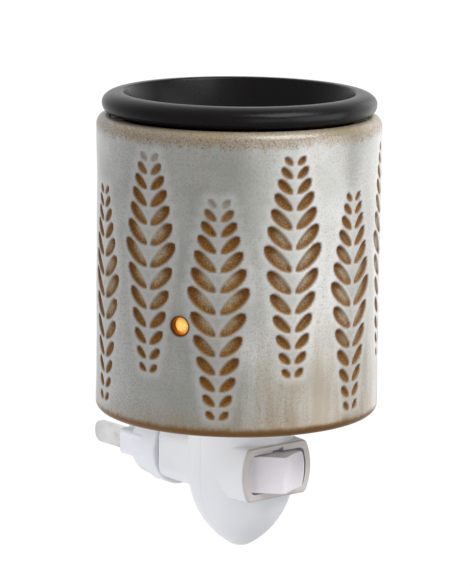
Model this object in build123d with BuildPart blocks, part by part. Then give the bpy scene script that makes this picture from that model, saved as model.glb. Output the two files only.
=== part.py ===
from build123d import *

import math
import os

# A wax melt warmer that hangs on a wall outlet: a silicone dish in a stoneware body, on a moulded base
# with a rocker switch in front and a plug that swivels behind. Millimetres. The wall is the plane Y = 0,
# the plug turns about the Y axis, the front faces -Y and +Z is up.

# Place of the body over the plug
WALL_TO_AXIS = 41.5
PLUG_TO_BODY = 16.5

# Stoneware body
BODY_RADIUS = 40.0
BODY_HEIGHT = 84.0
BODY_WALL = 5.0
BODY_FLOOR = 5.0
BODY_SHOULDER = 2.8
BODY_FOOT = 2.5
BODY_HEEL = 4.0
MOUTH_ROUND = 0.6
LEDGE_WIDTH = 1.3
LEDGE_DEPTH = 2.0
LIGHT_HOLE_RADIUS = 2.5
LIGHT_HOLE_HEIGHT = 30.5
LIGHT_HOLE_ANGLE = -63.0

# Silicone dish
RIM_SETBACK = 1.5
RIM_HEIGHT = 6.0
RIM_CROWN_SHARE = 0.65
RIM_FOOT_SHARE = 0.3
RIM_EDGE = 0.9
RIM_GAP = 0.3
DISH_DEPTH = 19.5
DISH_WALL = 2.2
DISH_TAPER = 17.0
DISH_HEEL = 6.0
DISH_CLEARANCE = 0.5

# Heater pan and what hangs under it
PAN_WALL = 1.0
PAN_FLOOR = 1.5
PAN_SIDE_GAP = 1.4
PAN_SEAT_CLEARANCE = 0.3
HEATER_LENGTH = 24.0
HEATER_WIDTH = 15.0
HEATER_THICK = 2.6
HEATER_TAB_WIDTH = 3.0
HEATER_TAB_LENGTH = 5.0
HEATER_TAB_THICK = 0.6
HEATER_TAB_PITCH = 12.0
CLAMP_LENGTH = 44.0
CLAMP_WIDTH = 14.0
CLAMP_THICK = 1.0
CLAMP_SCREW_PITCH = 36.0
CLAMP_BOSS_RADIUS = 3.2
CLAMP_SCREW_RADIUS = 1.5
CLAMP_SCREW_LENGTH = 3.2
CLAMP_HEAD_RADIUS = 2.75
CLAMP_HEAD_HEIGHT = 1.8
SCREW_CLEARANCE = 0.05
FUSE_RADIUS = 2.0
FUSE_LENGTH = 11.0
STRAP_WIDTH = 4.0
STRAP_THICK = 0.6
STRAP_EAR = 2.6

# Collar, gasket, nut and lamp bracket
COLLAR_RADIUS = 15.0
COLLAR_WALL = 2.8
COLLAR_CLEARANCE = 0.8
COLLAR_STAND = 1.5
FLANGE_RADIUS = 23.0
FLANGE_THICK = 2.5
GASKET_THICK = 1.0
GASKET_SETBACK = 1.0
NUT_RADIUS = 21.0
NUT_HEIGHT = 5.0
NUT_CLEARANCE = 0.1
NUT_NOTCH_COUNT = 8
NUT_NOTCH_RADIUS = 1.6
BRACKET_THICK = 0.8
BRACKET_WIDTH = 8.0
BRACKET_SETBACK = 8.0
BRACKET_CLEARANCE = 0.3
BRACKET_HEAD = 5.0
LAMP_RADIUS = 2.4
LAMP_RECESS = 1.4
LAMP_COLLAR_RADIUS = 3.2
LAMP_COLLAR_THICK = 1.0
LAMP_CLEARANCE = 0.05
LAMP_ROUND = 2.0

# Housing
EGG_FORWARD = 2.5
EGG_RADIUS = 15.1
EGG_STRAIGHT = 14.5
EGG_SWEEP = 24.7
EGG_NOSE = 6.0
HOUSING_WALL = 2.0
SPIGOT_HEIGHT = 3.2
SPIGOT_CLEARANCE = 0.15
SPIGOT_WALL = 1.6
LIP_REACH = 1.0
LIP_THICK = 1.2
LIP_DROP = 1.6
LIP_CLEARANCE = 0.1
NECK_WIDTH = 19.0
NECK_HEIGHT = 16.0
NECK_CORNER = 4.0
NECK_ROUND = 0.8
NECK_WALL = 1.6
NECK_END_WALL = 2.5
HOUSING_SCREW_PITCH = 12.0
HOUSING_SCREW_DROP = 25.0
HOUSING_BOSS_RADIUS = 2.4
HOUSING_SCREW_RADIUS = 1.1
HOUSING_SCREW_LENGTH = 9.0
HOUSING_HEAD_RADIUS = 2.0
HOUSING_HEAD_HEIGHT = 1.4
HOUSING_HEAD_SEAT = 4.5

# Switch
SNOUT_REACH = 16.0
SWITCH_DROP = 11.8
FRAME_WIDTH = 24.8
SNOUT_STEP = 0.1
SNOUT_FLARE = EGG_RADIUS - SNOUT_STEP - FRAME_WIDTH / 2
FRAME_HEIGHT = 15.4
FRAME_SIDE_RADIUS = 15.8
FRAME_EDGE = 2.0
FRAME_CORNER = 1.6
FRAME_ROUND = 0.6
NOTCH_WIDTH = 4.0
NOTCH_HEIGHT = 1.0
NOTCH_DEPTH = 1.6
ROCKER_SIDE_GAP = 1.0
ROCKER_END_GAP = 0.4
ROCKER_RIDGE = 6.0
ROCKER_RIDGE_ROUND = 1.3
ROCKER_DISHING = 0.5
ROCKER_SKIRT = 2.5
ROCKER_HUB_WIDTH = 6.4
ROCKER_HUB_DEPTH = 3.0
ROCKER_NOSE_RADIUS = 1.2
ROCKER_NOSE_DEPTH = 4.6
ROCKER_TILT = 11.0
PIVOT_DEPTH = 4.0
PIN_RADIUS = 1.25
PIN_CLEARANCE = 0.05
PIN_SEAT = 1.4
PIN_HOLD = 2.0
PIN_END_GAP = 0.2
LEAF_GAP = 0.3
LEAF_LENGTH = 14.0
LEAF_WIDTH = 4.0
LEAF_THICK = 0.4
CARRIER_THICK = 3.0
CARRIER_STANDOFF = 0.4
CARRIER_CLEARANCE = 0.15
TERMINAL_PITCH = 10.0
TERMINAL_WIDTH = 4.0
TERMINAL_THICK = 0.8
TERMINAL_TAIL = 5.5
TERMINAL_CLEARANCE = 0.05

# Plug
SWIVEL_DEPTH = 17.3
SWIVEL_GAP = 0.3
DISC_RADIUS = 11.0
DISC_THICK = 6.3
DRUM_RADIUS = 10.2
DRUM_THICK = 5.5
DISC_ROUND = 0.8
BAR_WIDTH = 20.0
BAR_HEIGHT = 7.6
BAR_CORNER = 1.2
BAR_ROUND = 0.6
SHAFT_RADIUS = 4.2
SHAFT_CLEARANCE = 0.08
SHAFT_TAIL = 2.5
CLIP_THICK = 0.8
CLIP_RADIUS = 5.8
CLIP_GROOVE_DEPTH = 0.4
CLIP_CLEARANCE = 0.1
CLIP_MOUTH = 4.0
STOP_RADIUS = 5.9
STOP_PIN_RADIUS = 0.8
STOP_PIN_LENGTH = 1.2
STOP_CLEARANCE = 0.35
SWIVEL_TURN = 90.0
BLADE_WIDTH = 6.35
BLADE_THICK = 1.5
BLADE_LENGTH = 15.5
BLADE_PITCH = 12.7
BLADE_TIP = 2.8
BLADE_ROOT = 9.0
TAIL_WIDTH = 3.0
TAIL_THICK = 0.8
LIVE_TRACK = 2.9
NEUTRAL_TRACK = 1.2
SLOT_CLEARANCE = 0.05
CONTACT_GAP = 0.3
RING_THICK = 0.6
RING_WIDTH = 1.2
BUTTON_RADIUS = 1.8
CONTACT_DISC_THICK = 2.0
CONTACT_DISC_CLEARANCE = 0.15

# Inner wires
LEAD_RADIUS = 0.8
LEAD_BEND = 1.6
LEAD_RUN = 4.5
LEAD_KNEE = 12.0
LEAD_PAIR = 2.0
LEAD_SPREAD = 2.0

# Levels of the body, measured up from its underside
body_y = -WALL_TO_AXIS
body_bore = BODY_RADIUS - BODY_WALL
ledge = BODY_HEIGHT - LEDGE_DEPTH
seat_radius = body_bore + LEDGE_WIDTH
rim_bottom = BODY_HEIGHT + RIM_GAP
rim_top = rim_bottom + RIM_HEIGHT
dish_floor = rim_top - DISH_DEPTH
dish_under = dish_floor - DISH_WALL
pan_top = ledge + PAN_WALL
pan_under = dish_under - PAN_FLOOR
heater_under = pan_under - HEATER_THICK
clamp_under = heater_under - CLAMP_THICK
fuse_level = clamp_under - FUSE_RADIUS
bracket_top = BODY_FLOOR + BRACKET_THICK
collar_top = bracket_top + NUT_HEIGHT + COLLAR_STAND
floor_hole_radius = COLLAR_RADIUS + COLLAR_CLEARANCE
collar_bore = COLLAR_RADIUS - COLLAR_WALL

# Radii at the ledge of the nested cones of pan and dish
cone_slope = math.tan(math.radians(DISH_TAPER))
cone_width = 1 / math.cos(math.radians(DISH_TAPER))
pan_outside = body_bore - PAN_SIDE_GAP
pan_inside = pan_outside - PAN_WALL * cone_width
dish_outside = pan_inside - DISH_CLEARANCE
dish_inside = dish_outside - DISH_WALL * cone_width
rim_radius = BODY_RADIUS - RIM_SETBACK

# Places in the base, in the part's own frame
egg_y = body_y - EGG_FORWARD
egg_top = PLUG_TO_BODY - GASKET_THICK - FLANGE_THICK
egg_bore = EGG_RADIUS - HOUSING_WALL
boss_z = egg_top - HOUSING_SCREW_DROP
face_y = egg_y - SNOUT_REACH
switch_z = egg_top - SWITCH_DROP
pocket_width = FRAME_WIDTH - 2 * FRAME_EDGE
pocket_height = FRAME_HEIGHT - 2 * FRAME_EDGE
pocket_side_radius = FRAME_SIDE_RADIUS - FRAME_EDGE
rocker_width = pocket_width - 2 * ROCKER_SIDE_GAP
rocker_height = pocket_height - 2 * ROCKER_END_GAP
leaf_depth = PIVOT_DEPTH + ROCKER_NOSE_DEPTH + LEAF_GAP
terminal_depth = leaf_depth + LEAF_THICK
carrier_depth = terminal_depth + CARRIER_STANDOFF
switch_depth = carrier_depth + CARRIER_THICK
terminal_end = face_y + switch_depth + TERMINAL_TAIL
neck_end = -SWIVEL_DEPTH - SWIVEL_GAP
neck_inside = neck_end - NECK_END_WALL
neck_room_width = NECK_WIDTH - 2 * NECK_WALL
neck_room_height = NECK_HEIGHT - 2 * NECK_WALL
shaft_end = neck_inside - SHAFT_TAIL
ring_face = shaft_end - CONTACT_GAP
contact_disc_face = ring_face - RING_THICK
contact_disc_back = contact_disc_face - CONTACT_DISC_THICK

# Axes and planes
body_axis = Axis((0, body_y, 0), (0, 0, 1))
egg_axis = Axis((0, egg_y, 0), (0, 0, 1))
body_section = Plane(origin=(0, body_y, PLUG_TO_BODY), x_dir=(1, 0, 0), z_dir=(0, -1, 0))
egg_section = Plane(origin=(0, egg_y, egg_top), x_dir=(1, 0, 0), z_dir=(0, -1, 0))
parting_plane = Plane(origin=(0, egg_y, 0), x_dir=(1, 0, 0), z_dir=(0, -1, 0))


def body_level(height):
    """Horizontal plane on the body's axis, a height above the body's underside"""
    return Plane(origin=(0, body_y, PLUG_TO_BODY + height))


def lamp_level(height):
    """Horizontal plane like body_level, with its X axis turned towards the light hole"""
    angle = math.radians(LIGHT_HOLE_ANGLE)
    toward_hole = (math.sin(angle), -math.cos(angle), 0)
    return Plane(origin=(0, body_y, PLUG_TO_BODY + height), x_dir=toward_hole, z_dir=(0, 0, 1))


def lamp_plane(reach):
    """Upright plane that faces out through the light hole, a reach away from the body's axis"""
    level = lamp_level(LIGHT_HOLE_HEIGHT)
    return Plane(origin=level.origin + level.x_dir * reach, x_dir=level.y_dir, z_dir=level.x_dir)


def egg_level(height):
    """Horizontal plane on the housing's axis"""
    return Plane(origin=(0, egg_y, height))


def switch_plane(depth):
    """Upright plane centred on the switch, a depth behind the face of its frame"""
    return Plane(origin=(0, face_y + depth, switch_z), x_dir=(1, 0, 0), z_dir=(0, -1, 0))


def plug_plane(y):
    """Upright plane centred on the plug's axis"""
    return Plane(origin=(0, y, 0), x_dir=(1, 0, 0), z_dir=(0, -1, 0))


def boss_plane(y):
    """Upright plane centred between the two screws of the housing"""
    return Plane(origin=(0, y, boss_z), x_dir=(1, 0, 0), z_dir=(0, -1, 0))


def cone_radius(radius_at_ledge, height):
    """Radius of one of the nested cones at a height above the body's underside"""
    return radius_at_ledge + (height - ledge) * cone_slope


def rounded_outline(*corners):
    """Closed face from corners given as x, y and fillet radius"""
    points = [corner[:2] for corner in corners]
    radii = [corner[2] for corner in corners]
    with BuildSketch() as outline:
        with BuildLine():
            FilletPolyline(*points, radius=radii, close=True)
        make_face()
    return outline.sketch


def barrel(width, height, side_radius, corner):
    """Face with level ends and sides bowed outward, as wide as width at mid height"""
    bow = side_radius - math.sqrt(side_radius**2 - (height / 2) ** 2)
    inner = width / 2 - bow
    with BuildSketch() as outline:
        with BuildLine():
            ThreePointArc((inner, -height / 2), (width / 2, 0), (inner, height / 2))
            Line((inner, height / 2), (-inner, height / 2))
            ThreePointArc((-inner, height / 2), (-width / 2, 0), (-inner, -height / 2))
            Line((-inner, -height / 2), (inner, -height / 2))
        make_face()
        fillet(outline.vertices(), corner)
    return outline.sketch


def egg_half_section(inset, rise):
    """Half section of the egg, drawn inside its skin by an inset and up to a rise over its top"""
    radius = EGG_RADIUS - inset
    sweep_radius = EGG_SWEEP - inset
    nose = EGG_NOSE - inset
    sweep_x = radius - sweep_radius
    nose_drop = math.sqrt((sweep_radius - nose) ** 2 - sweep_x**2)
    nose_y = -EGG_STRAIGHT - nose_drop
    turn = math.atan2(nose_drop, -sweep_x)
    join = (nose * math.cos(turn), nose_y - nose * math.sin(turn))
    sweep_middle = (
        sweep_x + sweep_radius * math.cos(turn / 2),
        -EGG_STRAIGHT - sweep_radius * math.sin(turn / 2),
    )
    nose_turn = (turn + math.pi / 2) / 2
    nose_middle = (nose * math.cos(nose_turn), nose_y - nose * math.sin(nose_turn))
    with BuildSketch() as section:
        with BuildLine():
            Polyline((0, rise), (radius, rise), (radius, -EGG_STRAIGHT))
            ThreePointArc((radius, -EGG_STRAIGHT), sweep_middle, join)
            ThreePointArc(join, nose_middle, (0, nose_y - nose))
            Line((0, nose_y - nose), (0, rise))
        make_face()
    return section.sketch


def blade_root(side, track, room):
    """Inner end of a plug blade: its root, and the tail that leads to a track on the shaft's end"""
    blade_plane = Plane(origin=(side * BLADE_PITCH / 2, 0, 0), x_dir=(0, 1, 0), z_dir=(1, 0, 0))
    step = BLADE_PITCH / 2 - track
    with BuildPart() as root:
        with BuildSketch(blade_plane):
            with Locations((-BLADE_ROOT / 2, 0)):
                Rectangle(BLADE_ROOT + 2 * room, BLADE_WIDTH + 2 * room)
        extrude(amount=BLADE_THICK / 2 + room, both=True)
        with BuildSketch(Plane.XY):
            with Locations((side * (track + step / 2), -BLADE_ROOT + TAIL_THICK / 2)):
                Rectangle(step + TAIL_THICK + 2 * room, TAIL_THICK + 2 * room)
            with Locations((side * track, (shaft_end - BLADE_ROOT + TAIL_THICK) / 2)):
                Rectangle(TAIL_THICK + 2 * room, -shaft_end - BLADE_ROOT + TAIL_THICK)
        extrude(amount=TAIL_WIDTH / 2 + room, both=True)
    return root.part


def blade(side, track):
    """One blade, from its tip to the tail inside the plug"""
    blade_plane = Plane(origin=(side * BLADE_PITCH / 2, 0, 0), x_dir=(0, 1, 0), z_dir=(1, 0, 0))
    root = blade_root(side, track, 0)
    with BuildPart() as whole:
        with BuildSketch(blade_plane) as flat:
            with Locations(((BLADE_LENGTH - BLADE_ROOT / 2) / 2, 0)):
                Rectangle(BLADE_LENGTH + BLADE_ROOT / 2, BLADE_WIDTH)
            fillet(flat.vertices().group_by(Axis.X)[-1], BLADE_TIP)
        extrude(amount=BLADE_THICK / 2, both=True)
        add(root)
    return whole


def lead(*points):
    """Round wire along straight runs with bends between them"""
    with BuildPart() as wire:
        with BuildLine() as path:
            FilletPolyline(*points, radius=LEAD_BEND)
        with BuildSketch(Plane(origin=path.line @ 0, z_dir=path.line % 0)):
            Circle(LEAD_RADIUS)
        sweep()
    return wire.part


# Stoneware body
with BuildPart() as ceramic_body:
    with BuildSketch(body_section):
        add(
            rounded_outline(
                (floor_hole_radius, 0, 0),
                (BODY_RADIUS, 0, BODY_FOOT),
                (BODY_RADIUS, BODY_HEIGHT, BODY_SHOULDER),
                (seat_radius, BODY_HEIGHT, MOUTH_ROUND),
                (seat_radius, ledge, 0),
                (body_bore, ledge, 0),
                (body_bore, BODY_FLOOR, BODY_HEEL),
                (floor_hole_radius, BODY_FLOOR, 0),
            )
        )
    revolve(axis=body_axis)
    with BuildSketch(lamp_plane(0)):
        Circle(LIGHT_HOLE_RADIUS)
    extrude(amount=2 * BODY_RADIUS, mode=Mode.SUBTRACT)

# Silicone dish, its floor on the pan and its rim over the body's shoulder
rim_mouth = cone_radius(dish_inside, rim_top)
rim_round = min(RIM_HEIGHT, rim_radius - rim_mouth)
with BuildPart() as wax_dish:
    with BuildSketch(body_section):
        add(
            rounded_outline(
                (0, dish_under, 0),
                (cone_radius(dish_outside, dish_under), dish_under, DISH_HEEL),
                (cone_radius(dish_outside, rim_bottom), rim_bottom, DISH_WALL / 2),
                (rim_radius, rim_bottom, RIM_FOOT_SHARE * rim_round),
                (rim_radius, rim_top, RIM_CROWN_SHARE * rim_round),
                (rim_mouth, rim_top, RIM_EDGE),
                (cone_radius(dish_inside, dish_floor), dish_floor, DISH_HEEL - DISH_WALL),
                (0, dish_floor, 0),
            )
        )
    revolve(axis=body_axis)

# Heater pan, hung by its flange on the body's ledge
pan_heel = DISH_HEEL - DISH_CLEARANCE
with BuildPart() as heater_pan:
    with BuildSketch(body_section):
        add(
            rounded_outline(
                (0, pan_under, 0),
                (cone_radius(pan_outside, pan_under), pan_under, pan_heel),
                (cone_radius(pan_outside, ledge), ledge, 0),
                (seat_radius - PAN_SEAT_CLEARANCE, ledge, 0),
                (seat_radius - PAN_SEAT_CLEARANCE, pan_top, 0),
                (cone_radius(pan_inside, pan_top), pan_top, PAN_WALL / 2),
                (cone_radius(pan_inside, dish_under), dish_under, pan_heel),
                (0, dish_under, 0),
            )
        )
    revolve(axis=body_axis)
    with BuildSketch(body_level(pan_under)):
        with GridLocations(CLAMP_SCREW_PITCH, 0, 2, 1):
            Circle(CLAMP_BOSS_RADIUS)
    extrude(amount=-HEATER_THICK)
    with BuildSketch(body_level(heater_under)):
        with GridLocations(CLAMP_SCREW_PITCH, 0, 2, 1):
            Circle(CLAMP_SCREW_RADIUS + SCREW_CLEARANCE)
    extrude(amount=CLAMP_SCREW_LENGTH - CLAMP_THICK + SCREW_CLEARANCE, mode=Mode.SUBTRACT)

# Heating plate with its two solder tabs
heater_middle = pan_under - HEATER_THICK / 2
with BuildPart() as ptc_heater:
    with BuildSketch(body_level(pan_under)):
        Rectangle(HEATER_LENGTH, HEATER_WIDTH)
    extrude(amount=-HEATER_THICK)
    with BuildSketch(body_level(heater_middle)):
        with Locations((0, HEATER_WIDTH / 2)):
            with GridLocations(HEATER_TAB_PITCH, 0, 2, 1):
                Rectangle(HEATER_TAB_WIDTH, 2 * HEATER_TAB_LENGTH)
    extrude(amount=HEATER_TAB_THICK / 2, both=True)

# Clamp bar across the heater, and its two screws
with BuildPart() as heater_clamp:
    with BuildSketch(body_level(heater_under)):
        SlotOverall(CLAMP_LENGTH, CLAMP_WIDTH)
        with GridLocations(CLAMP_SCREW_PITCH, 0, 2, 1):
            Circle(CLAMP_SCREW_RADIUS + SCREW_CLEARANCE, mode=Mode.SUBTRACT)
    extrude(amount=-CLAMP_THICK)

with BuildPart() as clamp_screws:
    with BuildSketch(body_level(clamp_under)):
        with GridLocations(CLAMP_SCREW_PITCH, 0, 2, 1):
            Circle(CLAMP_HEAD_RADIUS)
    extrude(amount=-CLAMP_HEAD_HEIGHT)
    with BuildSketch(body_level(clamp_under)):
        with GridLocations(CLAMP_SCREW_PITCH, 0, 2, 1):
            Circle(CLAMP_SCREW_RADIUS)
    extrude(amount=CLAMP_SCREW_LENGTH)

# Thermal fuse under the clamp bar, in line with one of the heater's tabs, and the strap round it
fuse_x = HEATER_TAB_PITCH / 2
fuse_z = PLUG_TO_BODY + fuse_level
fuse_plane = Plane(origin=(fuse_x, body_y, fuse_z), x_dir=(1, 0, 0), z_dir=(0, -1, 0))
with BuildPart() as thermal_fuse:
    with BuildSketch(fuse_plane):
        Circle(FUSE_RADIUS)
    extrude(amount=FUSE_LENGTH / 2, both=True)

strap_outside = FUSE_RADIUS + STRAP_THICK
with BuildPart() as fuse_strap:
    with BuildSketch(fuse_plane):
        Circle(strap_outside)
        with Locations((0, FUSE_RADIUS / 2)):
            Rectangle(2 * strap_outside, FUSE_RADIUS)
        with Locations((0, FUSE_RADIUS - STRAP_THICK / 2)):
            Rectangle(2 * (strap_outside + STRAP_EAR), STRAP_THICK)
        with Locations((0, FUSE_RADIUS + strap_outside / 2)):
            Rectangle(4 * strap_outside, strap_outside, mode=Mode.SUBTRACT)
        Circle(FUSE_RADIUS, mode=Mode.SUBTRACT)
        with Locations((0, FUSE_RADIUS / 2)):
            Rectangle(2 * FUSE_RADIUS, FUSE_RADIUS, mode=Mode.SUBTRACT)
    extrude(amount=STRAP_WIDTH / 2, both=True)

# Collar through the body's floor, with a flange under it and a lipped spigot down into the housing
with BuildPart() as collar:
    with BuildSketch(body_level(-GASKET_THICK)):
        Circle(FLANGE_RADIUS)
    extrude(amount=-FLANGE_THICK)
    with BuildSketch(body_level(-GASKET_THICK)):
        Circle(COLLAR_RADIUS)
    extrude(amount=GASKET_THICK + collar_top)
    with BuildSketch(egg_level(egg_top)):
        Circle(egg_bore - SPIGOT_CLEARANCE)
    extrude(amount=-SPIGOT_HEIGHT)
    with BuildSketch(egg_level(egg_top - LIP_DROP)):
        Circle(egg_bore + LIP_REACH - LIP_CLEARANCE)
    extrude(amount=-LIP_THICK)
    with BuildSketch(body_level(collar_top)):
        Circle(collar_bore)
    extrude(amount=-(collar_top + GASKET_THICK + FLANGE_THICK / 2), mode=Mode.SUBTRACT)
    with BuildSketch(egg_level(egg_top + FLANGE_THICK / 2)):
        Circle(egg_bore - SPIGOT_CLEARANCE - SPIGOT_WALL)
    extrude(amount=-(FLANGE_THICK / 2 + SPIGOT_HEIGHT), mode=Mode.SUBTRACT)

with BuildPart() as base_gasket:
    with BuildSketch(body_level(0)):
        Circle(FLANGE_RADIUS - GASKET_SETBACK)
        Circle(floor_hole_radius, mode=Mode.SUBTRACT)
    extrude(amount=-GASKET_THICK)

# Ring nut with spanner notches
with BuildPart() as collar_nut:
    with BuildSketch(body_level(bracket_top)):
        Circle(NUT_RADIUS)
        with PolarLocations(NUT_RADIUS, NUT_NOTCH_COUNT):
            Circle(NUT_NOTCH_RADIUS, mode=Mode.SUBTRACT)
        Circle(COLLAR_RADIUS + NUT_CLEARANCE, mode=Mode.SUBTRACT)
    extrude(amount=NUT_HEIGHT)

# Lamp bracket: a washer under the nut with one leg that rises to the light hole
bracket_reach = body_bore - BRACKET_SETBACK
bracket_foot = bracket_reach + BRACKET_THICK / 2
with BuildPart() as lamp_bracket:
    with BuildSketch(lamp_level(BODY_FLOOR)):
        Circle(NUT_RADIUS)
        with Locations((bracket_foot / 2, 0)):
            Rectangle(bracket_foot, BRACKET_WIDTH)
        Circle(COLLAR_RADIUS + BRACKET_CLEARANCE, mode=Mode.SUBTRACT)
    extrude(amount=BRACKET_THICK)
    with BuildSketch(lamp_level(BODY_FLOOR)):
        with Locations((bracket_reach, 0)):
            Rectangle(BRACKET_THICK, BRACKET_WIDTH)
    extrude(amount=LIGHT_HOLE_HEIGHT + BRACKET_HEAD - BODY_FLOOR)
    with BuildSketch(lamp_plane(bracket_reach - BRACKET_THICK)):
        Circle(LAMP_RADIUS + LAMP_CLEARANCE)
    extrude(amount=2 * BRACKET_THICK, mode=Mode.SUBTRACT)

# Indicator lamp: a collar behind the bracket and a domed lens through it, out into the light hole
lamp_collar_reach = bracket_reach - BRACKET_THICK / 2
lens_reach = BODY_RADIUS - LAMP_RECESS
lamp_back = lamp_plane(lamp_collar_reach - LAMP_COLLAR_THICK)
lamp_axis = Axis(lamp_back.origin, lamp_back.z_dir)
with BuildPart() as indicator_lamp:
    with BuildSketch(lamp_back):
        Circle(LAMP_COLLAR_RADIUS)
    extrude(amount=LAMP_COLLAR_THICK)
    with BuildSketch(lamp_plane(lamp_collar_reach)):
        Circle(LAMP_RADIUS)
    extrude(amount=lens_reach - lamp_collar_reach)
    round_edges = indicator_lamp.edges().filter_by(GeomType.CIRCLE)
    fillet(round_edges.sort_by(lamp_axis)[-1], LAMP_ROUND)

# Whole housing before it is parted: egg, snout and neck, hollow, with bosses for the two screws
with BuildPart() as screw_bosses:
    with BuildSketch(boss_plane(egg_y)):
        with GridLocations(HOUSING_SCREW_PITCH, 0, 2, 1):
            Circle(HOUSING_BOSS_RADIUS)
    extrude(amount=EGG_RADIUS, both=True)
    with BuildSketch(egg_section):
        add(egg_half_section(HOUSING_WALL / 2, 0))
    revolve(axis=egg_axis, mode=Mode.INTERSECT)

with BuildPart() as egg_shell:
    with BuildSketch(egg_section):
        add(egg_half_section(0, 0))
    revolve(axis=egg_axis)
    with BuildSketch(switch_plane(0)):
        add(barrel(FRAME_WIDTH, FRAME_HEIGHT, FRAME_SIDE_RADIUS, FRAME_CORNER))
    with BuildSketch(switch_plane(SNOUT_REACH)):
        add(barrel(FRAME_WIDTH + 2 * SNOUT_FLARE, FRAME_HEIGHT, FRAME_SIDE_RADIUS, FRAME_CORNER))
    loft()
    fillet(egg_shell.faces().sort_by(Axis.Y)[0].edges(), FRAME_ROUND)
    with BuildSketch(plug_plane(neck_end)):
        RectangleRounded(NECK_WIDTH, NECK_HEIGHT, NECK_CORNER)
    extrude(amount=neck_end - egg_y)
    fillet(egg_shell.faces().sort_by(Axis.Y)[-1].edges(), NECK_ROUND)
    with BuildSketch(egg_section):
        add(egg_half_section(HOUSING_WALL, HOUSING_WALL))
    revolve(axis=egg_axis, mode=Mode.SUBTRACT)
    with BuildSketch(plug_plane(neck_inside)):
        RectangleRounded(neck_room_width, neck_room_height, NECK_CORNER - NECK_WALL)
    extrude(amount=neck_inside - egg_y, mode=Mode.SUBTRACT)
    with BuildSketch(egg_level(egg_top - LIP_DROP + LIP_CLEARANCE)):
        Circle(egg_bore + LIP_REACH)
    extrude(amount=-(LIP_THICK + 2 * LIP_CLEARANCE), mode=Mode.SUBTRACT)
    add(screw_bosses.part)

# Front half of the housing, with the tube that holds the switch
pivot = Vector(0, face_y + PIVOT_DEPTH, switch_z)
with BuildPart() as housing_front:
    add(egg_shell.part)
    split(bisect_by=parting_plane, keep=Keep.TOP)
    with BuildSketch(switch_plane(FRAME_EDGE)):
        add(barrel(FRAME_WIDTH, FRAME_HEIGHT, FRAME_SIDE_RADIUS, FRAME_CORNER))
    extrude(amount=FRAME_EDGE - switch_depth)
    with BuildSketch(switch_plane(0)):
        add(barrel(pocket_width, pocket_height, pocket_side_radius, FRAME_CORNER))
    extrude(amount=-switch_depth, mode=Mode.SUBTRACT)
    with BuildSketch(switch_plane(0)):
        with Locations((0, pocket_height / 2)):
            Rectangle(NOTCH_WIDTH, 2 * NOTCH_HEIGHT)
    extrude(amount=-NOTCH_DEPTH, mode=Mode.SUBTRACT)
    with BuildSketch(Plane(pivot)):
        Circle(PIN_RADIUS)
    extrude(amount=pocket_height / 2 + PIN_SEAT, both=True, mode=Mode.SUBTRACT)
    with BuildSketch(boss_plane(egg_y)):
        with GridLocations(HOUSING_SCREW_PITCH, 0, 2, 1):
            Circle(HOUSING_SCREW_RADIUS + SCREW_CLEARANCE)
    extrude(amount=HOUSING_SCREW_LENGTH - HOUSING_HEAD_SEAT + SCREW_CLEARANCE, mode=Mode.SUBTRACT)

# Rear half of the housing, with the neck and the groove that stops the plug's turn
stop_track = CenterArc((0, 0), STOP_RADIUS, -90 - SWIVEL_TURN, 2 * SWIVEL_TURN)
with BuildPart() as housing_rear:
    add(egg_shell.part)
    split(bisect_by=parting_plane, keep=Keep.BOTTOM)
    with BuildSketch(boss_plane(egg_y)):
        with GridLocations(HOUSING_SCREW_PITCH, 0, 2, 1):
            Circle(HOUSING_SCREW_RADIUS + SCREW_CLEARANCE)
    extrude(amount=-EGG_RADIUS, mode=Mode.SUBTRACT)
    with BuildSketch(boss_plane(egg_y + HOUSING_HEAD_SEAT)):
        with GridLocations(HOUSING_SCREW_PITCH, 0, 2, 1):
            Circle(HOUSING_HEAD_RADIUS + SCREW_CLEARANCE)
    extrude(amount=-EGG_RADIUS, mode=Mode.SUBTRACT)
    with BuildSketch(plug_plane(neck_end)):
        Circle(SHAFT_RADIUS + SHAFT_CLEARANCE)
    extrude(amount=NECK_END_WALL, mode=Mode.SUBTRACT)
    with BuildSketch(plug_plane(neck_end)):
        SlotArc(stop_track, 2 * (STOP_PIN_RADIUS + STOP_CLEARANCE))
    extrude(amount=STOP_PIN_LENGTH - SWIVEL_GAP + STOP_CLEARANCE, mode=Mode.SUBTRACT)

with BuildPart() as housing_screws:
    with BuildSketch(boss_plane(egg_y + HOUSING_HEAD_SEAT)):
        with GridLocations(HOUSING_SCREW_PITCH, 0, 2, 1):
            Circle(HOUSING_HEAD_RADIUS)
    extrude(amount=-HOUSING_HEAD_HEIGHT)
    with BuildSketch(boss_plane(egg_y + HOUSING_HEAD_SEAT)):
        with GridLocations(HOUSING_SCREW_PITCH, 0, 2, 1):
            Circle(HOUSING_SCREW_RADIUS)
    extrude(amount=HOUSING_SCREW_LENGTH)

# Rocker, at rest with its left side pressed in: a dished roof over a hub, with a nose behind
rest_turn = math.radians(-ROCKER_TILT)
rocker_x = (math.cos(rest_turn), math.sin(rest_turn), 0)
rocker_out = (math.sin(rest_turn), -math.cos(rest_turn), 0)
rocker_top_plane = Plane(origin=pivot, x_dir=rocker_x, z_dir=(0, 0, 1))
rocker_front_plane = Plane(origin=pivot, x_dir=rocker_x, z_dir=rocker_out)
rocker_half = rocker_width / 2
crest = -PIVOT_DEPTH - ROCKER_RIDGE
slope_length = math.hypot(rocker_half, ROCKER_RIDGE)
dished_x = rocker_half / 2 - ROCKER_DISHING * ROCKER_RIDGE / slope_length
dished_y = -PIVOT_DEPTH - ROCKER_RIDGE / 2 + ROCKER_DISHING * rocker_half / slope_length
nose_centre = ROCKER_NOSE_DEPTH - ROCKER_NOSE_RADIUS
pin_bore = PIN_HOLD + PIN_END_GAP
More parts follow.
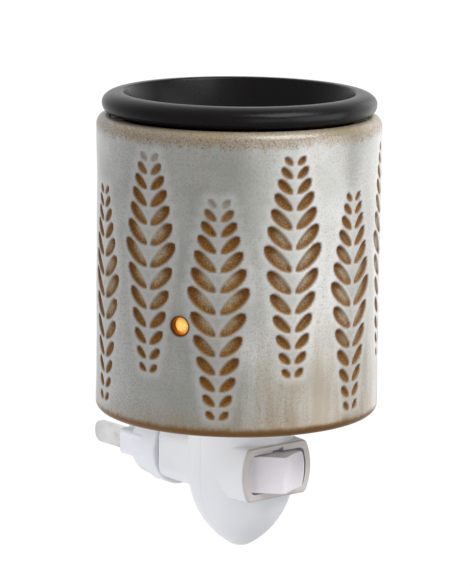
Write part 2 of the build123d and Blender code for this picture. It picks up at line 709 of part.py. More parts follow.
with BuildPart() as switch_rocker:
    with BuildSketch(rocker_top_plane) as roof:
        with BuildLine():
            ThreePointArc((rocker_half, -PIVOT_DEPTH), (dished_x, dished_y), (0, crest))
            ThreePointArc((0, crest), (-dished_x, dished_y), (-rocker_half, -PIVOT_DEPTH))
            Polyline(
                (-rocker_half, -PIVOT_DEPTH),
                (-rocker_half, ROCKER_SKIRT - PIVOT_DEPTH),
                (-ROCKER_HUB_WIDTH / 2, ROCKER_HUB_DEPTH),
                (ROCKER_HUB_WIDTH / 2, ROCKER_HUB_DEPTH),
                (rocker_half, ROCKER_SKIRT - PIVOT_DEPTH),
                (rocker_half, -PIVOT_DEPTH),
            )
        make_face()
        fillet(roof.vertices().sort_by(Axis.Y)[0], ROCKER_RIDGE_ROUND)
    extrude(amount=rocker_height / 2, both=True)
    with BuildSketch(rocker_front_plane):
        add(
            barrel(
                rocker_width,
                rocker_height,
                pocket_side_radius - ROCKER_SIDE_GAP,
                FRAME_CORNER - ROCKER_END_GAP,
            )
        )
    extrude(amount=PIVOT_DEPTH + 2 * ROCKER_RIDGE, both=True, mode=Mode.INTERSECT)
    with BuildSketch(rocker_top_plane):
        with Locations((0, nose_centre)):
            Circle(ROCKER_NOSE_RADIUS)
        with Locations((0, nose_centre / 2)):
            Rectangle(2 * ROCKER_NOSE_RADIUS, nose_centre)
    extrude(amount=LEAF_WIDTH / 2, both=True)
    for side in (1, -1):
        bore_start = pivot + Vector(0, 0, side * (rocker_height / 2 - pin_bore))
        with BuildSketch(Plane(bore_start, z_dir=(0, 0, side))):
            Circle(PIN_RADIUS + PIN_CLEARANCE)
        extrude(amount=pin_bore, mode=Mode.SUBTRACT)

with BuildPart() as rocker_pins:
    for side in (1, -1):
        pin_start = pivot + Vector(0, 0, side * (rocker_height / 2 - PIN_HOLD))
        with BuildSketch(Plane(pin_start, z_dir=(0, 0, side))):
            Circle(PIN_RADIUS)
        extrude(amount=PIN_HOLD + ROCKER_END_GAP + PIN_SEAT)

# Inside of the switch: spring leaf, two terminals and the insulator that closes the tube
with BuildPart() as contact_leaf:
    with BuildSketch(switch_plane(leaf_depth)):
        RectangleRounded(LEAF_LENGTH, LEAF_WIDTH, LEAF_WIDTH / 4)
    extrude(amount=-LEAF_THICK)

with BuildPart() as switch_terminals:
    with BuildSketch(switch_plane(terminal_depth)):
        with GridLocations(TERMINAL_PITCH, 0, 2, 1):
            Rectangle(TERMINAL_THICK, TERMINAL_WIDTH)
    extrude(amount=face_y + terminal_depth - terminal_end)

with BuildPart() as switch_carrier:
    with BuildSketch(switch_plane(carrier_depth)):
        add(
            barrel(
                pocket_width - 2 * CARRIER_CLEARANCE,
                pocket_height - 2 * CARRIER_CLEARANCE,
                pocket_side_radius - CARRIER_CLEARANCE,
                FRAME_CORNER,
            )
        )
        with GridLocations(TERMINAL_PITCH, 0, 2, 1):
            Rectangle(
                TERMINAL_THICK + 2 * TERMINAL_CLEARANCE,
                TERMINAL_WIDTH + 2 * TERMINAL_CLEARANCE,
                mode=Mode.SUBTRACT,
            )
    extrude(amount=-CARRIER_THICK)

# Plug: stepped disc with a grip bar across it, and a shaft into the neck
live_room = blade_root(-1, LIVE_TRACK, SLOT_CLEARANCE)
neutral_room = blade_root(1, NEUTRAL_TRACK, SLOT_CLEARANCE)
clip_start = neck_inside - CLIP_CLEARANCE
with BuildPart() as plug_swivel:
    with BuildSketch(plug_plane(-SWIVEL_DEPTH)):
        Circle(DISC_RADIUS)
    extrude(amount=-DISC_THICK)
    fillet(plug_swivel.edges().filter_by(GeomType.CIRCLE), DISC_ROUND)
    with BuildSketch(plug_plane(-SWIVEL_DEPTH)):
        Circle(DRUM_RADIUS)
    extrude(amount=-(DISC_THICK + DRUM_THICK))
    fillet(plug_swivel.edges().filter_by(GeomType.CIRCLE).sort_by(Axis.Y)[-1], DISC_ROUND)
    with BuildSketch(plug_plane(-SWIVEL_DEPTH)):
        RectangleRounded(BAR_WIDTH, BAR_HEIGHT, BAR_CORNER)
    extrude(amount=-SWIVEL_DEPTH)
    fillet(plug_swivel.faces().sort_by(Axis.Y)[-1].edges(), BAR_ROUND)
    with BuildSketch(plug_plane(-SWIVEL_DEPTH)):
        Circle(SHAFT_RADIUS)
    extrude(amount=-SWIVEL_DEPTH - shaft_end)
    with BuildSketch(plug_plane(-SWIVEL_DEPTH)):
        with Locations((0, -STOP_RADIUS)):
            Circle(STOP_PIN_RADIUS)
    extrude(amount=STOP_PIN_LENGTH)
    with BuildSketch(plug_plane(clip_start + CLIP_CLEARANCE / 2)):
        Circle(DISC_RADIUS)
        Circle(SHAFT_RADIUS - CLIP_GROOVE_DEPTH, mode=Mode.SUBTRACT)
    extrude(amount=CLIP_THICK + CLIP_CLEARANCE, mode=Mode.SUBTRACT)
    add(live_room, mode=Mode.SUBTRACT)
    add(neutral_room, mode=Mode.SUBTRACT)

with BuildPart() as swivel_clip:
    with BuildSketch(plug_plane(clip_start)):
        Circle(CLIP_RADIUS)
        Circle(SHAFT_RADIUS - CLIP_GROOVE_DEPTH + CLIP_CLEARANCE / 2, mode=Mode.SUBTRACT)
        with Locations((0, CLIP_RADIUS / 2)):
            Rectangle(CLIP_MOUTH, CLIP_RADIUS, mode=Mode.SUBTRACT)
    extrude(amount=CLIP_THICK)

# Flat blades with rounded tips and a hole
blade_live = blade(-1, LIVE_TRACK)
blade_neutral = blade(1, NEUTRAL_TRACK)

# Rubbing contacts that the tails of the blades run on, and the insulator that carries them
ring_stud_radius = RING_WIDTH / 3
with BuildPart() as slip_rings:
    with BuildSketch(plug_plane(ring_face)):
        Circle(LIVE_TRACK + RING_WIDTH / 2)
        Circle(LIVE_TRACK - RING_WIDTH / 2, mode=Mode.SUBTRACT)
        Circle(BUTTON_RADIUS)
    extrude(amount=RING_THICK)
    with BuildSketch(plug_plane(contact_disc_face)):
        Circle(BUTTON_RADIUS)
        with Locations((-LIVE_TRACK, 0)):
            Circle(ring_stud_radius)
    extrude(amount=CONTACT_DISC_THICK)

with BuildPart() as contact_disc:
    with BuildSketch(plug_plane(contact_disc_face)):
        RectangleRounded(
            neck_room_width - 2 * CONTACT_DISC_CLEARANCE,
            neck_room_height - 2 * CONTACT_DISC_CLEARANCE,
            NECK_CORNER - NECK_WALL,
        )
        Circle(BUTTON_RADIUS + SLOT_CLEARANCE, mode=Mode.SUBTRACT)
        with Locations((-LIVE_TRACK, 0)):
            Circle(ring_stud_radius + SLOT_CLEARANCE, mode=Mode.SUBTRACT)
    extrude(amount=CONTACT_DISC_THICK)

# Inner wires, from the contacts at the plug to the switch, the fuse, the heater and the lamp
heater_z = PLUG_TO_BODY + heater_middle
tab_end = body_y + HEATER_WIDTH / 2 + HEATER_TAB_LENGTH
heater_drop_y = tab_end + LEAD_RUN
fuse_drop_y = body_y - FUSE_LENGTH / 2 - LEAD_RUN
knee_z = PLUG_TO_BODY + collar_top + LEAD_KNEE
mouth_z = PLUG_TO_BODY + collar_top
switch_drop_y = terminal_end + LEAD_RUN
contact_drop_y = contact_disc_back - 2 * LEAD_RUN
out_x = TERMINAL_PITCH / 2

fuse_jumper = lead(
    (fuse_x, body_y + FUSE_LENGTH / 2, fuse_z),
    (fuse_x, heater_drop_y, fuse_z),
    (fuse_x, heater_drop_y, heater_z),
    (fuse_x, tab_end, heater_z),
)
fuse_lead = lead(
    (fuse_x, body_y - FUSE_LENGTH / 2, fuse_z),
    (fuse_x, fuse_drop_y, fuse_z),
    (fuse_x, fuse_drop_y, knee_z),
    (out_x, switch_drop_y, mouth_z),
    (out_x, switch_drop_y, switch_z + LEAD_PAIR / 2),
    (out_x, terminal_end, switch_z + LEAD_PAIR / 2),
)
neutral_lead = lead(
    (-fuse_x, tab_end, heater_z),
    (-fuse_x, heater_drop_y, heater_z),
    (-fuse_x, heater_drop_y, knee_z),
    (0, contact_drop_y, mouth_z),
    (0, contact_drop_y, LEAD_PAIR / 2),
    (0, contact_disc_back, LEAD_PAIR / 2),
)
with BuildPart() as heater_leads:
    add(fuse_jumper)
    add(fuse_lead)
    add(neutral_lead)

lamp_side = lamp_back.x_dir * LEAD_PAIR / 2
lamp_in = lamp_back.z_dir * -LEAD_RUN
first_start = lamp_back.origin + lamp_side
first_turn = first_start + lamp_in
second_start = lamp_back.origin - lamp_side
second_turn = second_start + lamp_in
lamp_lead_out = lead(
    first_start,
    first_turn,
    (first_turn.X, first_turn.Y, knee_z),
    (out_x, switch_drop_y + LEAD_SPREAD, mouth_z),
    (out_x, switch_drop_y + LEAD_SPREAD, switch_z - LEAD_PAIR / 2),
    (out_x, terminal_end, switch_z - LEAD_PAIR / 2),
)
lamp_lead_back = lead(
    second_start,
    second_turn,
    (second_turn.X, second_turn.Y, knee_z),
    (0, contact_drop_y - LEAD_SPREAD, mouth_z),
    (0, contact_drop_y - LEAD_SPREAD, -LEAD_PAIR / 2),
    (0, contact_disc_back, -LEAD_PAIR / 2),
)
with BuildPart() as lamp_leads:
    add(lamp_lead_out)
    add(lamp_lead_back)

live_run = lead(
    (-LIVE_TRACK, contact_disc_back, 0),
    (-LIVE_TRACK, contact_disc_back - LEAD_RUN, 0),
    (-out_x, terminal_end + LEAD_RUN, switch_z),
    (-out_x, terminal_end, switch_z),
)
with BuildPart() as live_lead:
    add(live_run)

pieces = {
    "ceramic_body": ceramic_body,
    "wax_dish": wax_dish,
    "heater_pan": heater_pan,
    "ptc_heater": ptc_heater,
    "heater_clamp": heater_clamp,
    "clamp_screws": clamp_screws,
    "thermal_fuse": thermal_fuse,
    "fuse_strap": fuse_strap,
    "collar": collar,
    "base_gasket": base_gasket,
    "collar_nut": collar_nut,
    "lamp_bracket": lamp_bracket,
    "indicator_lamp": indicator_lamp,
    "housing_front": housing_front,
    "housing_rear": housing_rear,
    "housing_screws": housing_screws,
    "switch_rocker": switch_rocker,
    "rocker_pins": rocker_pins,
    "contact_leaf": contact_leaf,
    "switch_terminals": switch_terminals,
    "switch_carrier": switch_carrier,
    "plug_swivel": plug_swivel,
    "swivel_clip": swivel_clip,
    "blade_live": blade_live,
    "blade_neutral": blade_neutral,
    "slip_rings": slip_rings,
    "contact_disc": contact_disc,
    "heater_leads": heater_leads,
    "lamp_leads": lamp_leads,
    "live_lead": live_lead,
}

os.makedirs("parts", exist_ok=True)
for name, piece in pieces.items():
    piece.part.label = name
    export_step(piece.part, f"parts/{name}.step")
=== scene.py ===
import math

import bpy
import numpy as np
from mathutils import Matrix, Vector


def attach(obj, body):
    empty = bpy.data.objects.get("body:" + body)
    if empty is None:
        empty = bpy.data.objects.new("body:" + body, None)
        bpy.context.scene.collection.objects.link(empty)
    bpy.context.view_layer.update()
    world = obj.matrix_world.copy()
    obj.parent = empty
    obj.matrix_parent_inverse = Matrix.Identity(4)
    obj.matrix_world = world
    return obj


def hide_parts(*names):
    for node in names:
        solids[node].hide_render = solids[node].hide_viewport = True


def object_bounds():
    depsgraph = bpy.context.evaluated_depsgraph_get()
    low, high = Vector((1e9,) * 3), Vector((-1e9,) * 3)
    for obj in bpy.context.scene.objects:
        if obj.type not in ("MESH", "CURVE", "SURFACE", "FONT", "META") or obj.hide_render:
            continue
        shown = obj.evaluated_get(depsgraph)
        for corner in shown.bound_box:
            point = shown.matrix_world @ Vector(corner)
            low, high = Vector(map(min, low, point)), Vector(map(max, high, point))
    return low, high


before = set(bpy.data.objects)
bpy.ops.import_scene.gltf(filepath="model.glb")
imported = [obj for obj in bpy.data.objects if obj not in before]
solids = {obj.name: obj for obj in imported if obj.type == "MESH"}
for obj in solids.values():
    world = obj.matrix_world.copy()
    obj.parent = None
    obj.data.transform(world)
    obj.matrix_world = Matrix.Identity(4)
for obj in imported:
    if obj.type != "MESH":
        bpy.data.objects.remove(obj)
cad_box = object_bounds()

MM = 0.001
PER_METRE = 1000

# Sizes shared with the solids, in millimetres; heights on the body and dish are over the body's underside
BODY_Y = -41.5
BODY_BASE = 16.5
BODY_RADIUS = 40.0
BODY_HEIGHT = 84.0
BODY_BORE = 35.0
BODY_FLOOR = 5.0
SEAT_RADIUS = 36.3
LEDGE = 82.0
FLOOR_HOLE = 15.8
FOOT_ROUND = 2.5
SHOULDER_ROUND = 2.8
MOUTH_ROUND = 0.6
HEEL_ROUND = 4.0
LIGHT_HOLE_RADIUS = 2.5
LIGHT_HOLE_HEIGHT = 30.5
LIGHT_HOLE_ANGLE = math.radians(-63.0)
HOLE_OUT_X = math.sin(LIGHT_HOLE_ANGLE)
HOLE_OUT_Y = -math.cos(LIGHT_HOLE_ANGLE)
PARTING_Y = -44.0
FRAME_FACE_Y = -60.0

# Sizes of the pressed sprigs
SPRIG_COUNT = 12
SPRIG_ANGLE = math.radians(-47.4)
SPRIG_LOW = 34.5
SPRIG_RISE = 11.5
LEAF_ROWS = 6
ROW_STEP = 6.3
ROW_STEP_FALL = 0.48
LEAF_LENGTH = 10.4
LEAF_LENGTH_FALL = 1.22
LEAF_HALF_WIDTH = 1.90
LEAF_HALF_WIDTH_FALL = 0.165
LEAF_STALK_POWER = 0.62
LEAF_TIP_POWER = 0.45
LEAF_LEAN = math.radians(43.0)
LEAF_BOW = 0.03
STEM_HALF_GAP = 0.70
LEAF_DEPTH = 0.55
SMALL_LEAF_DEPTH = 0.6
LEAF_EDGE = 1.0
LEAF_LIP = 0.25
VEIL_ANGLE = math.radians(-62.0)
VEILED_ROW = 4.8


def srgb(red, green, blue):
    """Colour from 0 to 255 screen values, as the shader wants it"""
    channels = []
    for value in (red, green, blue):
        part = value / 255
        channels.append(part / 12.92 if part <= 0.04045 else ((part + 0.055) / 1.055) ** 2.4)
    return (*channels, 1.0)


# Shader maths
MIX_FACTOR = 0
MIX_FIRST = 6
MIX_SECOND = 7
MIX_RESULT = 2
NOISE_MIDDLE = 0.5


class Value:
    """A socket that takes part in sums; each sum adds a Math node to its tree"""

    def __init__(self, tree, socket):
        self.tree = tree
        self.socket = socket

    def math(self, operation, *others):
        """A Math node that starts from this value"""
        return self.tree.node("ShaderNodeMath", {"operation": operation}, [self, *others])

    def __add__(self, other):
        return self.math("ADD", other)

    def __radd__(self, other):
        return self.math("ADD", other)

    def __sub__(self, other):
        return self.math("SUBTRACT", other)

    def __rsub__(self, other):
        return self.tree.node("ShaderNodeMath", {"operation": "SUBTRACT"}, [other, self])

    def __mul__(self, other):
        return self.math("MULTIPLY", other)

    def __rmul__(self, other):
        return self.math("MULTIPLY", other)

    def __abs__(self):
        return self.math("ABSOLUTE")

    def step(self, low, high):
        """Smooth step from 0 at low to 1 at high"""
        settings = {"interpolation_type": "SMOOTHSTEP"}
        sockets = {"Value": self, "From Min": low, "From Max": high}
        return self.tree.node("ShaderNodeMapRange", settings, sockets)


class Tree:
    """The nodes of a material or world"""

    def __init__(self, owner):
        owner.use_nodes = True
        self.nodes = owner.node_tree.nodes
        self.links = owner.node_tree.links

    def link(self, socket, value):
        """Gives a socket a link or a plain value"""
        if isinstance(value, Value):
            self.links.new(value.socket, socket)
        else:
            socket.default_value = value

    def node(self, kind, settings=None, inputs=(), output=0):
        """Adds a node: its settings, then the values or links of its sockets, by name or in order"""
        made = self.nodes.new(kind)
        for key, value in (settings or {}).items():
            setattr(made, key, value)
        pairs = inputs.items() if isinstance(inputs, dict) else enumerate(inputs)
        for key, value in pairs:
            self.link(made.inputs[key], value)
        return Value(self, made.outputs[output]) if made.outputs else None


class Finish(Tree):
    """A procedural material on one Principled shader"""

    def __init__(self, name, **constants):
        self.material = bpy.data.materials.new(name)
        super().__init__(self.material)
        self.shader = self.nodes["Principled BSDF"]
        self.set(**constants)

    def set(self, **sockets):
        """Sets or links sockets of the shader, named with underscores for spaces"""
        for key, value in sockets.items():
            self.link(self.shader.inputs[key.replace("_", " ")], value)

    def mix(self, factor, first, second):
        """Colour between two others"""
        sockets = {MIX_FACTOR: factor, MIX_FIRST: first, MIX_SECOND: second}
        return self.node("ShaderNodeMix", {"data_type": "RGBA"}, sockets, MIX_RESULT)

    def place(self):
        """Place on the piece, in metres in the shared frame"""
        return self.node("ShaderNodeTexCoord", output="Object")

    def axes(self, vector):
        """The three parts of a vector"""
        return [self.node("ShaderNodeSeparateXYZ", inputs=[vector], output=axis) for axis in "XYZ"]

    def stretched(self, vector, scale):
        """A place scaled differently along each axis"""
        return self.node("ShaderNodeVectorMath", {"operation": "MULTIPLY"}, [vector, scale])

    def noise(self, vector, scale, detail, roughness):
        """Noise from 0 to 1, with its scale in waves per metre"""
        sockets = {"Vector": vector, "Scale": scale, "Detail": detail, "Roughness": roughness}
        return self.node("ShaderNodeTexNoise", inputs=sockets)

    def stored(self, name):
        """A number kept at each point of the piece's mesh"""
        return self.node("ShaderNodeAttribute", {"attribute_name": name}, output="Fac")

    def bump(self, height, distance, strength):
        """Feeds the shader's normal from a height"""
        sockets = {"Height": height, "Distance": distance, "Strength": strength}
        self.set(Normal=self.node("ShaderNodeBump", inputs=sockets))


def cover(shares, pattern):
    """How far a colour covers: an even share, and a further one where a pattern is"""
    even, patterned = shares
    return even + pattern * patterned


# Meshes
def mesh_from(name, points, faces):
    """Mesh from points in millimetres"""
    mesh = bpy.data.meshes.new(name)
    mesh.from_pydata([tuple(point) for point in np.asarray(points) * MM], [], faces)
    return mesh


def set_down(name, data):
    """New object in the scene"""
    made = bpy.data.objects.new(name, data)
    bpy.context.scene.collection.objects.link(made)
    return made


def applied_mesh(rough):
    """Mesh of an object with its modifiers applied; the object itself goes"""
    bpy.context.view_layer.update()
    seen = rough.evaluated_get(bpy.context.evaluated_depsgraph_get())
    mesh = bpy.data.meshes.new_from_object(seen)
    bpy.data.objects.remove(rough)
    return mesh


def finish_piece(name, mesh, body, smooth_angle):
    """Object from a mesh, shaded smooth up to an angle in degrees, which rides on a body"""
    mesh.polygons.foreach_set("use_smooth", [True] * len(mesh.polygons))
    mesh.set_sharp_from_angle(angle=math.radians(smooth_angle))
    made = set_down(name, mesh)
    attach(made, body)
    return made


def paint(piece_or_solid, finish):
    """One finish all over a piece"""
    materials = piece_or_solid.data.materials
    materials.clear()
    materials.append(finish.material)


def arc(centre, radius, start, end, count):
    """Points of an arc in a section, angles in degrees from the outward direction"""
    angles = np.radians(np.linspace(start, end, count))
    return [(centre[0] + radius * math.cos(a), centre[1] + radius * math.sin(a)) for a in angles]


def bend(start, corner, end, count):
    """Points of a curve that leaves its start towards a corner and reaches its end from there"""
    first, middle, last = np.array([start, corner, end])
    parts = np.linspace(0, 1, count)
    return [tuple((1 - t) ** 2 * first + 2 * t * (1 - t) * middle + t**2 * last) for t in parts]


def lathe_mesh(profile, columns):
    """Points and faces of a closed section turned about the body's axis"""
    section = np.array(profile)
    turns = np.linspace(0, 2 * math.pi, columns, endpoint=False)
    radius = section[:, 0][:, None]
    height = np.repeat(section[:, 1][:, None], columns, 1)
    across = radius * np.sin(turns)[None, :]
    along = BODY_Y - radius * np.cos(turns)[None, :]
    points = np.stack([across, along, BODY_BASE + height], -1).reshape(-1, 3)
    rows = len(section)
    faces = []
    for row in range(rows):
        below = row * columns
        above = ((row + 1) % rows) * columns
        for column in range(columns):
            beside = (column + 1) % columns
            faces.append((below + column, below + beside, above + beside, above + column))
    return points, faces


def smoothstep(low, high, value):
    """Smooth step of an array from 0 at low to 1 at high"""
    part = np.clip((value - low) / (high - low), 0, 1)
    return part * part * (3 - 2 * part)


# Stoneware body: rings and columns of its mesh
WALL_ROW = 0.42
WALL_COLUMNS = 560
UNDERSIDE_RINGS = (22.0, 30.0)
INSIDE_FLOOR_RING = 24.0
BORE_TOP_RING = 70.0
BORE_LOW_GAP = 4.0
BORE_RINGS = 8
ROUND_POINTS = 9
MOUTH_POINTS = 4
HEEL_POINTS = 6
BODY_SMOOTH_ANGLE = 50.0

# Bar that cuts the light hole
CUTTER_SIDES = 64
CUTTER_OVERRUN = 3.0

# Relief of the wall: pressed leaves, dimple at the light hole, and waves of a hand-made piece
WALL_SLACK = 0.05
FOOT_SLACK = 0.1
LEAF_SKIN = 0.5
NO_LEAF = -9.0
NEAR_HOLE_TURN = 0.5
NO_HOLE = 99.0
DIMPLE_DEPTH = 0.5
DIMPLE_WIDTH = 1.3
WAVES_DEPTH = 0.15
WAVES_FULL_LOW = 12.0
WAVES_FULL_HIGH = 70.0
# Each wave: depth, count round the body, lean in radians per millimetre, start in radians
WAVES = ((0.10, 3, 0.05, 0.0), (0.07, 5, -0.11, 1.0), (0.04, 11, 0.3, 0.0))


def body_profile():
    """Closed section of the body from the floor's hole out, up and back in"""
    wall_rows = int((BODY_HEIGHT - SHOULDER_ROUND - FOOT_ROUND) / WALL_ROW)
    wall = np.linspace(FOOT_ROUND, BODY_HEIGHT - SHOULDER_ROUND, wall_rows)
    bore = np.linspace(BORE_TOP_RING, BODY_FLOOR + HEEL_ROUND + BORE_LOW_GAP, BORE_RINGS)
    foot_centre = (BODY_RADIUS - FOOT_ROUND, FOOT_ROUND)
    shoulder_centre = (BODY_RADIUS - SHOULDER_ROUND, BODY_HEIGHT - SHOULDER_ROUND)
    mouth_centre = (SEAT_RADIUS + MOUTH_ROUND, BODY_HEIGHT - MOUTH_ROUND)
    heel_centre = (BODY_BORE - HEEL_ROUND, BODY_FLOOR + HEEL_ROUND)
    section = [(radius, 0.0) for radius in (FLOOR_HOLE, *UNDERSIDE_RINGS)]
    section += arc(foot_centre, FOOT_ROUND, -90, 0, ROUND_POINTS)[:-1]
    section += [(BODY_RADIUS, height) for height in wall]
    section += arc(shoulder_centre, SHOULDER_ROUND, 0, 90, ROUND_POINTS)[1:-1]
    section += arc(mouth_centre, MOUTH_ROUND, 90, 180, MOUTH_POINTS)
    section += [(SEAT_RADIUS, LEDGE), (BODY_BORE, LEDGE)]
    section += [(BODY_BORE, height) for height in bore]
    section += arc(heel_centre, HEEL_ROUND, 0, -90, HEEL_POINTS)
    section += [(INSIDE_FLOOR_RING, BODY_FLOOR), (FLOOR_HOLE, BODY_FLOOR)]
    return section


def leaf_rows():
    """Height of each leaf pair over the middle one, with its size step from the middle"""
    rows = [(0.0, 0)]
    reach = 0.0
    for step in range(1, LEAF_ROWS + 1):
        reach += ROW_STEP - ROW_STEP_FALL * (step - 0.5)
        rows.append((reach, step))
        rows.append((-reach, step))
    return rows


def nearest_leaf(across, height):
    """The nearest leaf at places beside a sprig's stem: the distance inside its outline, below zero outside,
    its share of the largest leaf, the way along it, the way across it, and how far glaze veils its row"""
    inset = np.full(across.shape, NO_LEAF)
    share = np.zeros(across.shape)
    reach = np.zeros(across.shape)
    side = np.zeros(across.shape)
    veiled = np.zeros(across.shape)
    widest = LEAF_STALK_POWER / (LEAF_STALK_POWER + LEAF_TIP_POWER)
    fullness = widest**LEAF_STALK_POWER * (1 - widest) ** LEAF_TIP_POWER
    lean = np.array([math.cos(LEAF_LEAN), math.sin(LEAF_LEAN)])
    for rise, step in leaf_rows():
        length = LEAF_LENGTH - LEAF_LENGTH_FALL * step
        half_width = LEAF_HALF_WIDTH - LEAF_HALF_WIDTH_FALL * step
        row_veil = max(0.0, step - VEILED_ROW) / (LEAF_ROWS - VEILED_ROW) * (rise > 0)
        out = np.abs(across) - STEM_HALF_GAP
        up = height - rise
        along = (out * lean[0] + up * lean[1]) / length
        aside = -out * lean[1] + up * lean[0]
        inside = np.clip(along, 0.0, 1.0)
        swell = inside**LEAF_STALK_POWER * (1 - inside) ** LEAF_TIP_POWER / fullness
        bow = -LEAF_BOW * length * 4 * inside * (1 - inside)
        distance = half_width * swell - np.abs(aside - bow)
        beyond = np.maximum(-along, along - 1) * length
        distance = np.where(beyond > 0, -np.hypot(beyond, aside - bow), distance)
        nearer = distance > inset
        inset = np.where(nearer, distance, inset)
        share = np.where(nearer, half_width / LEAF_HALF_WIDTH, share)
        reach = np.where(nearer, inside, reach)
        side = np.where(nearer, np.clip((aside - bow) / half_width, -1, 1), side)
        veiled = np.where(nearer, row_veil, veiled)
    return inset, share, reach, side, veiled


def leaf_on_wall(turn, height):
    """The nearest leaf at places on the wall; every other sprig stands higher"""
    pitch = 2 * math.pi / SPRIG_COUNT
    number = np.round((turn - SPRIG_ANGLE) / pitch)
    across = (turn - SPRIG_ANGLE - number * pitch) * BODY_RADIUS
    middle = SPRIG_LOW + SPRIG_RISE * (number.astype(int) % 2)
    return nearest_leaf(across, height - middle)


def light_hole_cutter():
    """Round bar along the light hole, through the wall with an overrun at each end"""
    out = Vector((HOLE_OUT_X, HOLE_OUT_Y, 0))
    up = Vector((0, 0, 1))
    side = up.cross(out)
    start = Vector((0, BODY_Y, BODY_BASE + LIGHT_HOLE_HEIGHT)) + out * (BODY_BORE - CUTTER_OVERRUN)
    length = BODY_RADIUS - BODY_BORE + 2 * CUTTER_OVERRUN
    points = []
    for reach in (0, length):
        for index in range(CUTTER_SIDES):
            turn = 2 * math.pi * index / CUTTER_SIDES
            offset = side * math.cos(turn) + up * math.sin(turn)
            points.append(start + out * reach + offset * LIGHT_HOLE_RADIUS)
    faces = [tuple(reversed(range(CUTTER_SIDES))), tuple(range(CUTTER_SIDES, 2 * CUTTER_SIDES))]
    for index in range(CUTTER_SIDES):
        beside = (index + 1) % CUTTER_SIDES
        faces.append((index, beside, CUTTER_SIDES + beside, CUTTER_SIDES + index))
    return set_down("light_hole_cutter", mesh_from("light_hole_cutter", points, faces))


def pierced_body():
    """Mesh of the plain body with its light hole"""
    points, faces = lathe_mesh(body_profile(), WALL_COLUMNS)
    blank = set_down("stoneware_blank", mesh_from("stoneware_body", points, faces))
    cutter = light_hole_cutter()
    cut = blank.modifiers.new("light_hole", "BOOLEAN")
    cut.object = cutter
    cut.operation = "DIFFERENCE"
    cut.solver = "EXACT"
    pierced = applied_mesh(blank)
    bpy.data.objects.remove(cutter)
    return pierced


def make_stoneware():
    """The body with its leaves pressed in, which also stores where each point is on its leaf"""
    pierced = pierced_body()
    flat = np.zeros(len(pierced.vertices) * 3)
    pierced.vertices.foreach_get("co", flat)
    spots = flat.reshape(-1, 3) / MM
    across = spots[:, 0]
    along = spots[:, 1] - BODY_Y
    height = spots[:, 2] - BODY_BASE
    radius = np.hypot(across, along)
    turn = np.arctan2(across, -along)
    on_wall = (radius > BODY_RADIUS - WALL_SLACK) & (height > FOOT_ROUND - FOOT_SLACK)

    inset, share, reach, side, veiled = leaf_on_wall(turn, height)
    veil = veiled * np.clip(np.cos(2 * (turn - VEIL_ANGLE)), 0, 1)
    full_depth = LEAF_DEPTH * (SMALL_LEAF_DEPTH + (1 - SMALL_LEAF_DEPTH) * share)
    depth = full_depth * smoothstep(-LEAF_LIP, LEAF_EDGE, inset)
    hole_side = (turn - LIGHT_HOLE_ANGLE) * BODY_RADIUS
    hole_distance = np.hypot(hole_side, height - LIGHT_HOLE_HEIGHT)
    dimple_edge = LIGHT_HOLE_RADIUS + DIMPLE_WIDTH
    depth += DIMPLE_DEPTH * (1 - smoothstep(LIGHT_HOLE_RADIUS, dimple_edge, hole_distance))
    waves = sum(deep * np.sin(count * turn + lean * height + start) for deep, count, lean, start in WAVES)
    waves_share = smoothstep(FOOT_ROUND, WAVES_FULL_LOW, height)
    waves_share *= 1 - smoothstep(WAVES_FULL_HIGH, BODY_HEIGHT - SHOULDER_ROUND, height)
    depth = np.where(on_wall, depth + (waves + WAVES_DEPTH) * waves_share, 0.0)
    shrunk = (radius - depth) / radius
    spots[:, 0] = across * shrunk
    spots[:, 1] = BODY_Y + along * shrunk
    pierced.vertices.foreach_set("co", (spots * MM).reshape(-1))

    near_hole = np.abs(turn - LIGHT_HOLE_ANGLE) < NEAR_HOLE_TURN
    kept = {
        "leaf_inset": np.where(radius > BODY_RADIUS - LEAF_SKIN, inset, NO_LEAF),
        "leaf_share": share,
        "leaf_reach": reach,
        "leaf_side": side,
        "leaf_veil": veil,
        "hole_distance": np.where(near_hole, hole_distance, NO_HOLE),
    }
    for name, values in kept.items():
        stored = pierced.attributes.new(name, "FLOAT", "POINT")
        stored.data.foreach_set("value", values.astype(np.float32))
    made = finish_piece("stoneware_body", pierced, "warmer", BODY_SMOOTH_ANGLE)
    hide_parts("ceramic_body")
    return made


# Glaze colours
CLOUD_DARK = srgb(126, 128, 122)
CLOUD_PALE = srgb(168, 168, 166)
SPECK_SAND = srgb(104, 95, 78)
PEPPER_BROWN = srgb(98, 90, 76)
# Grey of thin glaze with painted shade added, on the side towards the light hole
THIN_GREY_AND_SHADE = srgb(102, 102, 94)
RUST = srgb(94, 78, 34)
SHOULDER_BROWN = srgb(120, 95, 44)
LINE_BROWN = srgb(88, 60, 22)
HAZE_BROWN = srgb(116, 90, 48)
FOOT_BROWN = srgb(114, 80, 42)
HALO_WHITE = srgb(186, 187, 188)
IRON_DARK = srgb(82, 51, 12)
IRON_PALE = srgb(128, 86, 28)
IRON_TIP = srgb(78, 42, 8)
POOL_PALE = srgb(166, 157, 130)
HOLE_BROWN = srgb(66, 18, 1)
# Painted glow: the lamp's light on the hole's glazed wall, given as emission
PAINTED_HOLE_GLOW = srgb(206, 104, 22)
UNLIT = (0.0, 0.0, 0.0, 1.0)

# Glaze patterns: stretches of the noise, and where each noise starts and is full
RUN_STRETCH = (1.0, 1.0, 0.10)
RAGGED_STRETCH = (1.0, 1.0, 0.35)
CLOUDS = (0.32, 0.68)
SPECKS = (0.46, 0.62)
PEPPER = (0.53, 0.66)
RUN_LINES = (0.42, 0.70)
IRON_GRAIN = (0.36, 0.66)
